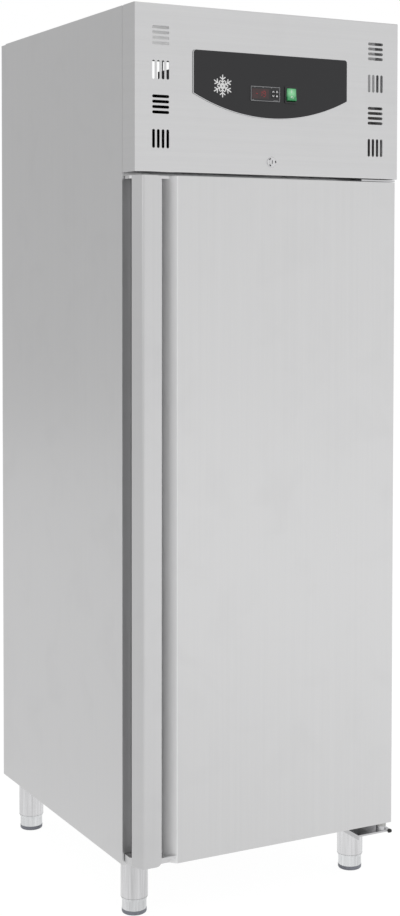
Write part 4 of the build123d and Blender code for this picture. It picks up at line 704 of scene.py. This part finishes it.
def controllerPrint():
    # the frame line round the controller, rings for three small lamps above the window, a dash
    # below it and a short row of ticks under the keys
    marks = {
        "line": 0.7 * mm,
        "inset": 1.2 * mm,
        "lift": 0.1 * mm,
        "lamps": (0.14, 0.42, 0.70),
        "lampRadius": 0.5 * mm,
        "lampSides": 6,
        "lampDrop": 2.6 * mm,
        "dash": (5 * mm, 7.4 * mm),
        "ticks": 5,
        "tickHalf": 0.7 * mm,
        "tickPitch": 2.6 * mm,
        "tickInset": 6 * mm,
    }
    low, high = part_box("controller_body")
    bars = [frameSegments(low, high, marks["inset"])]
    for share in marks["lamps"]:
        lamp = (low.x + share * (high.x - low.x), high.z - marks["lampDrop"])
        bars.append(ringSegments(lamp, marks["lampRadius"], marks["lampSides"]))
    foot = (low.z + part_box("controller_window")[0].z) / 2
    bars.append(levelBars([low.x + marks["dash"][0]], [low.x + marks["dash"][1]], foot))
    ticks = high.x - marks["tickInset"] - np.arange(marks["ticks"])[::-1] * marks["tickPitch"]
    bars.append(levelBars(ticks - marks["tickHalf"], ticks + marks["tickHalf"], foot))
    outlines = capsules(np.concatenate(bars), marks["line"])
    return platePiece("controller_print", outlines, low.y - marks["lift"], low.y + printSink)


dressed(controllerPrint(), "machine_panel", materials["dimInk"])


def keySymbols():
    # up and down arrows, a cross for the set key and a small triangle for the defrost key
    symbol = {"size": 2.0 * mm, "bar": 1.4 * mm, "lift": 0.1 * mm}
    left, right, top = (-0.7, -0.5), (0.7, -0.5), (0, 1)
    shapes = {
        "key_up": [((-1, -0.5), (0, 0.5)), ((0, 0.5), (1, -0.5))],
        "key_down": [((-1, 0.5), (0, -0.5)), ((0, -0.5), (1, 0.5))],
        "key_set": [((-1, 0), (1, 0)), ((0, -1), (0, 1))],
        "key_defrost": [(left, top), (top, right), (left, right)],
    }
    for name, lines in shapes.items():
        low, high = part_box(name)
        middle = np.array([(low.x + high.x) / 2, (low.z + high.z) / 2])
        outlines = capsules(np.array(lines) * symbol["size"] + middle, symbol["bar"])
        piece = platePiece(name + "_symbol", outlines, low.y - symbol["lift"], low.y + printSink)
        dressed(piece, name, materials["ink"])


keySymbols()


def readPoints(piece):
    points = np.empty(len(piece.data.vertices) * 3)
    piece.data.vertices.foreach_get("co", points)
    return points.reshape(-1, 3)


def rockerMarks():
    # a bar and a ring, each on the plane of its own half of the rocker: the plane is read from
    # the rocker's edge and valley, so that y follows z along it
    marks = {
        "bar": 1.3 * mm,
        "ring": 2.6 * mm,
        "ringSteps": 14,
        "lift": 0.12 * mm,
        "thickness": 0.3 * mm,
        "share": 0.5,
        "band": 2.5 * mm,
    }
    points = readPoints(cadNodes["switch_rocker"])
    low, high = points.min(0), points.max(0)
    middle = (low + high) / 2

    def frontAt(z):
        return points[np.abs(points[:, 2] - z) < marks["band"], 1].min()

    stem = np.array([((0, -marks["ring"]), (0, marks["ring"]))])
    for name, edgeZ in (("rocker_mark_on", high[2]), ("rocker_mark_off", low[2])):
        centre = (middle[0], middle[2] + marks["share"] * (edgeZ - middle[2]))
        isOn = name == "rocker_mark_on"
        bars = stem + centre if isOn else ringSegments(centre, marks["ring"], marks["ringSteps"])
        slope = (frontAt(edgeZ) - frontAt(middle[2])) / (edgeZ - middle[2])
        piece = platePiece(name, capsules(bars, marks["bar"]), 0.0, marks["thickness"])
        flat = readPoints(piece)
        flat[:, 1] += frontAt(middle[2]) + slope * (flat[:, 2] - middle[2]) - marks["lift"]
        piece.data.vertices.foreach_set("co", flat.ravel())
        dressed(piece, "rocker", materials["ink"])


rockerMarks()
print("print and trim made")


# Door gasket

def doorGasket():
    # one section carried round the frame with mitred corners: x = side * (half - u),
    # z = edge + u, y = depth, where u and depth run round the section: a flat foot in the
    # door, a narrow neck, two bellows and a round-edged magnet pocket at the cabinet's side
    section = {
        "foot": [(0.8, 0.0), (5.2, 0.0), (5.2, 0.9), (4.2, 1.5)],
        "outerFold": [(4.4, 2.2), (3.0, 2.8), (3.4, 3.4), (1.2, 3.7), (0.2, 4.4)],
        "headLeft": [(0.0, 5.4), (0.3, 6.6), (1.2, 7.4), (3.0, 7.6)],
        "headRight": [(11.0, 7.6), (12.8, 7.4), (13.7, 6.6), (14.0, 5.4)],
        "innerFold": [(13.6, 4.4), (12.2, 3.8), (9.0, 3.6), (9.8, 3.0), (8.2, 2.4), (8.8, 1.9), (7.2, 1.5)],
        "base": [(7.8, 0.9), (9.6, 0.9), (9.6, 0.0)],
    }
    low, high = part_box("door_gasket")
    outline = np.array(sum(([*part] for part in section.values()), [])) * mm
    depth = outline[:, 1] * (high.y - low.y) / outline[:, 1].max()
    u = outline[:, 0]
    corners = np.array([(-1, 0), (1, 0), (1, 1), (-1, 1)])
    x = corners[:, :1] * (high.x - u[None])
    z = np.where(corners[:, 1:] == 0, low.z + u[None], high.z - u[None])
    y = np.broadcast_to(low.y + depth, x.shape)
    faces = gridFaces(len(corners), len(outline), wrapRows=True, wrapColumns=True)
    return meshPiece("door_gasket_profile", np.stack([x, y, z], 2), faces.tolist(), smooth=False)


gasket = dressed(doorGasket(), "door", materials["gasket"])
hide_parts("door_gasket")


# Corner pieces of the mouth's plastic frame

def mouthCorners():
    # each corner between the square sheet and the rounded frame: a quarter arc of the frame's
    # outer edge, closed by the square corner's point
    corner = {"radius": 30 * mm, "front": 0.1 * mm, "back": 0.7 * mm, "steps": 12}
    low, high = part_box("breaker_frame")
    r = corner["radius"]
    quarter = np.linspace(0, np.pi / 2, corner["steps"])
    arc = np.stack([np.cos(quarter), np.sin(quarter)], 1) * r
    shape = np.concatenate([arc, [[r, r]]])
    outlines = []
    for side in (-1, 1):
        for edge, way in ((low.z, -1), (high.z, 1)):
            middle = np.array([side * (high.x - r), edge - way * r])
            outlines.append(middle + shape * [side, way])
    return platePiece("mouth_corners", outlines, low.y + corner["front"], low.y + corner["back"])


dressed(mouthCorners(), "cabinet", materials["breaker"])


# Screws

def screwPiece(name, places, radius, rise):
    # pan heads that face the back, with a cross: height = rise * root(1 - dome r^2) less the cross,
    # where the cross is deep when one of the two flat directions is narrow and the other short;
    # the last two rings close the head at the sheet
    head = {"rings": 9, "sides": 32, "dome": 0.7, "slot": 0.2, "arm": 0.62, "wall": 0.1, "depth": 0.55}
    r = np.concatenate([np.linspace(0, 1, head["rings"]), [1.0, 0.0]])[:, None]
    turn = np.linspace(0, 2 * np.pi, head["sides"], endpoint=False)[None]
    a, b = r * np.cos(turn), r * np.sin(turn)
    narrow, longWay = np.minimum(abs(a), abs(b)), np.maximum(abs(a), abs(b))
    cross = np.clip((head["slot"] - narrow) / head["wall"], 0, 1)
    cross = cross * np.clip((head["arm"] - longWay) / head["wall"], 0, 1)
    height = rise * (np.sqrt(1 - head["dome"] * r**2) - head["depth"] * cross)
    height[-2:] = 0.0
    points = places[:, None, None] + np.stack([radius * a, height, radius * b], 2)
    faces = gridFaces(len(r), head["sides"], wrapColumns=True)
    return meshPiece(name, points, repeatFaces(faces, len(places), height.size).tolist())


def evenPlaces(xs, ys, zs):
    return np.stack([np.asarray(a, float).ravel() for a in np.broadcast_arrays(xs, ys, zs)], 1)


def rearScrews():
    # a row of screws along each edge of the rear panel, sunk a little so that no head sticks out
    screws = {
        "inset": 12 * mm,
        "across": 5,
        "up": 8,
        "sunk": 1.3 * mm,
        "radius": 3.6 * mm,
        "rise": 2.2 * mm,
    }
    low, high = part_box("rear_panel")
    inset, back = screws["inset"], high.y - screws["sunk"]
    across = np.linspace(low.x + inset, high.x - inset, screws["across"])
    up = np.linspace(low.z + inset, high.z - inset, screws["up"])[1:-1]
    places = np.concatenate([
        evenPlaces(across, back, low.z + inset),
        evenPlaces(across, back, high.z - inset),
        evenPlaces(low.x + inset, back, up),
        evenPlaces(high.x - inset, back, up),
    ])
    return screwPiece("rear_panel_screws", places, screws["radius"], screws["rise"])


dressed(rearScrews(), "cabinet", materials["screw"])


# Small parts of the hinge bracket and the lock

def bracketPlug():
    # black plug on the bracket's outer end: a profile of radius over length, turned round X
    plug = {"radius": 4.4 * mm, "length": 9 * mm, "ahead": 1.5 * mm, "height": 8.5 * mm, "sides": 28}
    profile = np.array([(0, 0), (0, 1), (0.55, 1), (0.8, 0.9), (0.94, 0.6), (1, 0)], float)
    low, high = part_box("hinge_bracket_bottom")
    share, radius = profile[:, :1], profile[:, 1:] * plug["radius"]
    turn = np.linspace(0, 2 * np.pi, plug["sides"], endpoint=False)[None]
    x = high.x - plug["length"] * (1 - share) + 0 * turn
    y = low.y - plug["ahead"] + radius * np.cos(turn)
    z = low.z + plug["height"] + radius * np.sin(turn)
    faces = gridFaces(len(profile), plug["sides"], wrapColumns=True)
    return meshPiece("bracket_plug", np.stack([x, y, z], 2), faces.tolist())


dressed(bracketPlug(), "cabinet", materials["grommet"])


def lockMarks():
    # three dark notches round the lock's face
    marks = {
        "turns": (5.0, 130.0, 235.0),
        "bar": 3.0 * mm,
        "reach": 8.8 * mm,
        "half": 1.4 * mm,
        "lift": 0.08 * mm,
        "sink": 0.3 * mm,
    }
    low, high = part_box("lock_body")
    turn = np.radians(marks["turns"])
    out = np.stack([np.cos(turn), np.sin(turn)], 1)
    side = np.stack([-out[:, 1], out[:, 0]], 1) * marks["half"]
    middle = np.array([(low.x + high.x) / 2, (low.z + high.z) / 2]) + marks["reach"] * out
    outlines = capsules(np.stack([middle - side, middle + side], 1), marks["bar"])
    return platePiece("lock_marks", outlines, low.y - marks["lift"], low.y + marks["sink"])


dressed(lockMarks(), "machine_panel", materials["black"])


# Fan guards and fine fins in the cooling unit

def fanGuard():
    # rings of wire in a plane square to Y before the cover's opening, with straight spokes laid
    # over them
    guard = {
        "radius": 62 * mm,
        "rings": 6,
        "spokes": 4,
        "wire": 0.9 * mm,
        "aside": -2 * mm,
        "ahead": 2.2 * mm,
        "steps": 64,
        "sides": 8,
        "spokeFrom": 0.12,
        "spokeTo": 1.04,
        "spokeSteps": 4,
        "spokeWire": 1.2,
        "spokeLift": 1.8,
    }
    low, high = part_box("evaporator_fan")
    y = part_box("evaporator_cover")[0].y - guard["ahead"]
    centre = np.array([(low.x + high.x) / 2 + guard["aside"], y, (low.z + high.z) / 2])
    radius, wire, sides, facing = guard["radius"], guard["wire"], guard["sides"], (0, 1, 0)
    turn = np.linspace(0, 2 * np.pi, guard["steps"], endpoint=False)
    circle = np.stack([np.cos(turn), 0 * turn, np.sin(turn)], 1)
    tubes = []
    for share in np.arange(1, guard["rings"] + 1) / guard["rings"]:
        path = centre + radius * share * circle
        tubes.append((tubePoints(path, wire, sides, facing, closed=True), True))
    steps = radius * np.linspace(guard["spokeFrom"], guard["spokeTo"], guard["spokeSteps"])[:, None]
    start = centre - [0, guard["spokeLift"] * wire, 0]
    for angle in np.linspace(0, 2 * np.pi, guard["spokes"], endpoint=False) + math.pi / 2:
        path = start + steps * [math.cos(angle), 0, math.sin(angle)]
        tubes.append((tubePoints(path, wire * guard["spokeWire"], sides, facing), False))
    return joinTubes("evaporator_fan_guard", tubes)


dressed(fanGuard(), "cabinet", materials["wire"])


def fineFins(coil, count, inset):
    # thin upright plates side by side between the coil's own ends
    fins = {"thickness": 0.25 * mm, "insetY": 1.2 * mm, "insetZ": 2 * mm}
    low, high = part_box(coil)
    x, half = np.linspace(low.x + inset, high.x - inset, count), fins["thickness"] / 2
    lows = evenPlaces(x - half, low.y + fins["insetY"], low.z + fins["insetZ"])
    highs = evenPlaces(x + half, high.y - fins["insetY"], high.z - fins["insetZ"])
    return boxPiece(coil.replace("coil", "fine_fins"), lows, highs)


# condenser fins near black as painted shade
dressed(fineFins("condenser_coil", 105, 26 * mm), "cabinet", materials["shadeBlack"])
dressed(fineFins("evaporator_coil", 100, 14 * mm), "cabinet", materials["aluminium"])
print("small parts made")


# Camera, at the photograph's viewing angle

def lookFrom():
    eye = {
        "place": (-1.835355, -3.596691, 1.461373),
        "yaw": 0.50085,
        "pitch": -0.03566,
        "roll": 0.00208,
        "lens": 64.055,
        "shiftX": -0.0414,
        "shiftY": -0.1458,
        "near": 0.05,
        "far": 60.0,
    }
    yaw, pitch, roll = eye["yaw"], eye["pitch"], eye["roll"]
    ahead = np.array([math.sin(yaw) * math.cos(pitch), math.cos(yaw) * math.cos(pitch), math.sin(pitch)])
    right = np.array([math.cos(yaw), -math.sin(yaw), 0.0])
    above = np.cross(right, ahead)
    tiltedRight = math.cos(roll) * right + math.sin(roll) * above
    tiltedAbove = -math.sin(roll) * right + math.cos(roll) * above
    data = bpy.data.cameras.new("camera")
    data.lens, data.shift_x, data.shift_y = eye["lens"], eye["shiftX"], eye["shiftY"]
    data.clip_start, data.clip_end = eye["near"], eye["far"]
    camera = bpy.data.objects.new("camera", data)
    bpy.context.scene.collection.objects.link(camera)
    matrix = np.eye(4)
    matrix[:3, :3] = np.stack([tiltedRight, tiltedAbove, -ahead], 1)
    matrix[:3, 3] = eye["place"]
    camera.matrix_world = Matrix(matrix.tolist())
    bpy.context.scene.camera = camera


lookFrom()


# Floor and light

def paleFloor():
    # a wide floor that looks white to the camera and in reflections, and still takes a soft
    # shadow; mirrored, it grows brighter along one way across the floor
    floorSet = {
        "half": 9.0,
        "tone": (0.86, 0.86, 0.86, 1),
        "roughness": 0.9,
        "glow": 1.10,
        "share": 0.86,
        "brighterTo": (0.8, -0.6, 0.0),
        "span": (-1.0, 3.5),
        "mirrored": (0.80, 1.04),
    }
    h = floorSet["half"]
    mesh = bpy.data.meshes.new("floor")
    mesh.from_pydata([(-h, -h, 0), (h, -h, 0), (h, h, 0), (-h, h, 0)], [], [(0, 1, 2, 3)])
    floor = linkPiece("floor", mesh)
    material, tree, shader = startMaterial("pale_floor")
    setInputs(tree, shader, {"Base Color": floorSet["tone"], "Roughness": floorSet["roughness"]})
    path = addNode(tree, "ShaderNodeLightPath").outputs
    mirrored = addMath(tree, "MAXIMUM", path["Is Glossy Ray"], path["Is Transmission Ray"])
    across = {0: objectPoint(tree), 1: floorSet["brighterTo"]}
    aside = addNode(tree, "ShaderNodeVectorMath", across, operation="DOT_PRODUCT").outputs["Value"]
    reflected = addRange(tree, aside, *floorSet["span"], *floorSet["mirrored"])
    strength = addRange(tree, mirrored, 0.0, 1.0, floorSet["glow"], reflected)
    glow = addNode(tree, "ShaderNodeEmission", {"Color": (1, 1, 1, 1), "Strength": strength})
    factor = addMath(tree, "MULTIPLY", path["Is Camera Ray"], floorSet["share"])
    factor = addMath(tree, "MAXIMUM", factor, mirrored)
    mixed = addNode(tree, "ShaderNodeMixShader", {0: factor, 1: shader.outputs[0], 2: glow.outputs[0]})
    tree.links.new(mixed.outputs[0], tree.nodes["Material Output"].inputs["Surface"])
    mesh.materials.append(material)


def studioWorld():
    # white to the camera; for light and reflections a pale room, brighter to the front right
    # and below, darker to the left and above
    room = {"dark": 0.58, "bright": 0.93, "brighterTo": (0.55, -0.50, -0.67), "span": (-0.8, 0.8)}
    world = bpy.data.worlds.new("studio")
    bpy.context.scene.world = world
    world.use_nodes = True
    tree = world.node_tree
    direction = addNode(tree, "ShaderNodeTexCoord").outputs["Generated"]
    towards = np.array(room["brighterTo"]) / np.linalg.norm(room["brighterTo"])
    sides = {0: direction, 1: tuple(towards)}
    facing = addNode(tree, "ShaderNodeVectorMath", sides, operation="DOT_PRODUCT").outputs["Value"]
    pale = addRange(tree, facing, *room["span"], room["dark"], room["bright"])
    seen = addNode(tree, "ShaderNodeLightPath").outputs["Is Camera Ray"]
    level = addNode(tree, "ShaderNodeMix", {0: seen, 2: pale, 3: 1.0}).outputs[0]
    setInputs(tree, tree.nodes["Background"], {"Color": (1, 1, 1, 1), "Strength": level})


def studioLamps():
    # soft square lamps, each turned to the middle of the cabinet
    aim = (0.0, 0.0, 1.0)
    lamps = {
        "key": {"place": (0.2, -3.4, 4.8), "size": 2.4, "power": 9},
        "left": {"place": (-3.6, -1.2, 2.6), "size": 2.4, "power": 9},
        "top": {"place": (0.0, 0.3, 4.6), "size": 2.6, "power": 9},
    }
    for name, lamp in lamps.items():
        data = bpy.data.lights.new("lamp_" + name, "AREA")
        data.size, data.energy = lamp["size"], lamp["power"]
        light = bpy.data.objects.new("lamp_" + name, data)
        bpy.context.scene.collection.objects.link(light)
        light.location = lamp["place"]
        x, y, z = np.array(aim) - np.array(lamp["place"])
        light.rotation_euler = (math.atan2(math.hypot(x, y), -z), 0.0, math.atan2(y, x) - math.pi / 2)


paleFloor()
studioWorld()
studioLamps()
bpy.context.scene.view_settings.view_transform = "Standard"
print("camera, floor and light set")
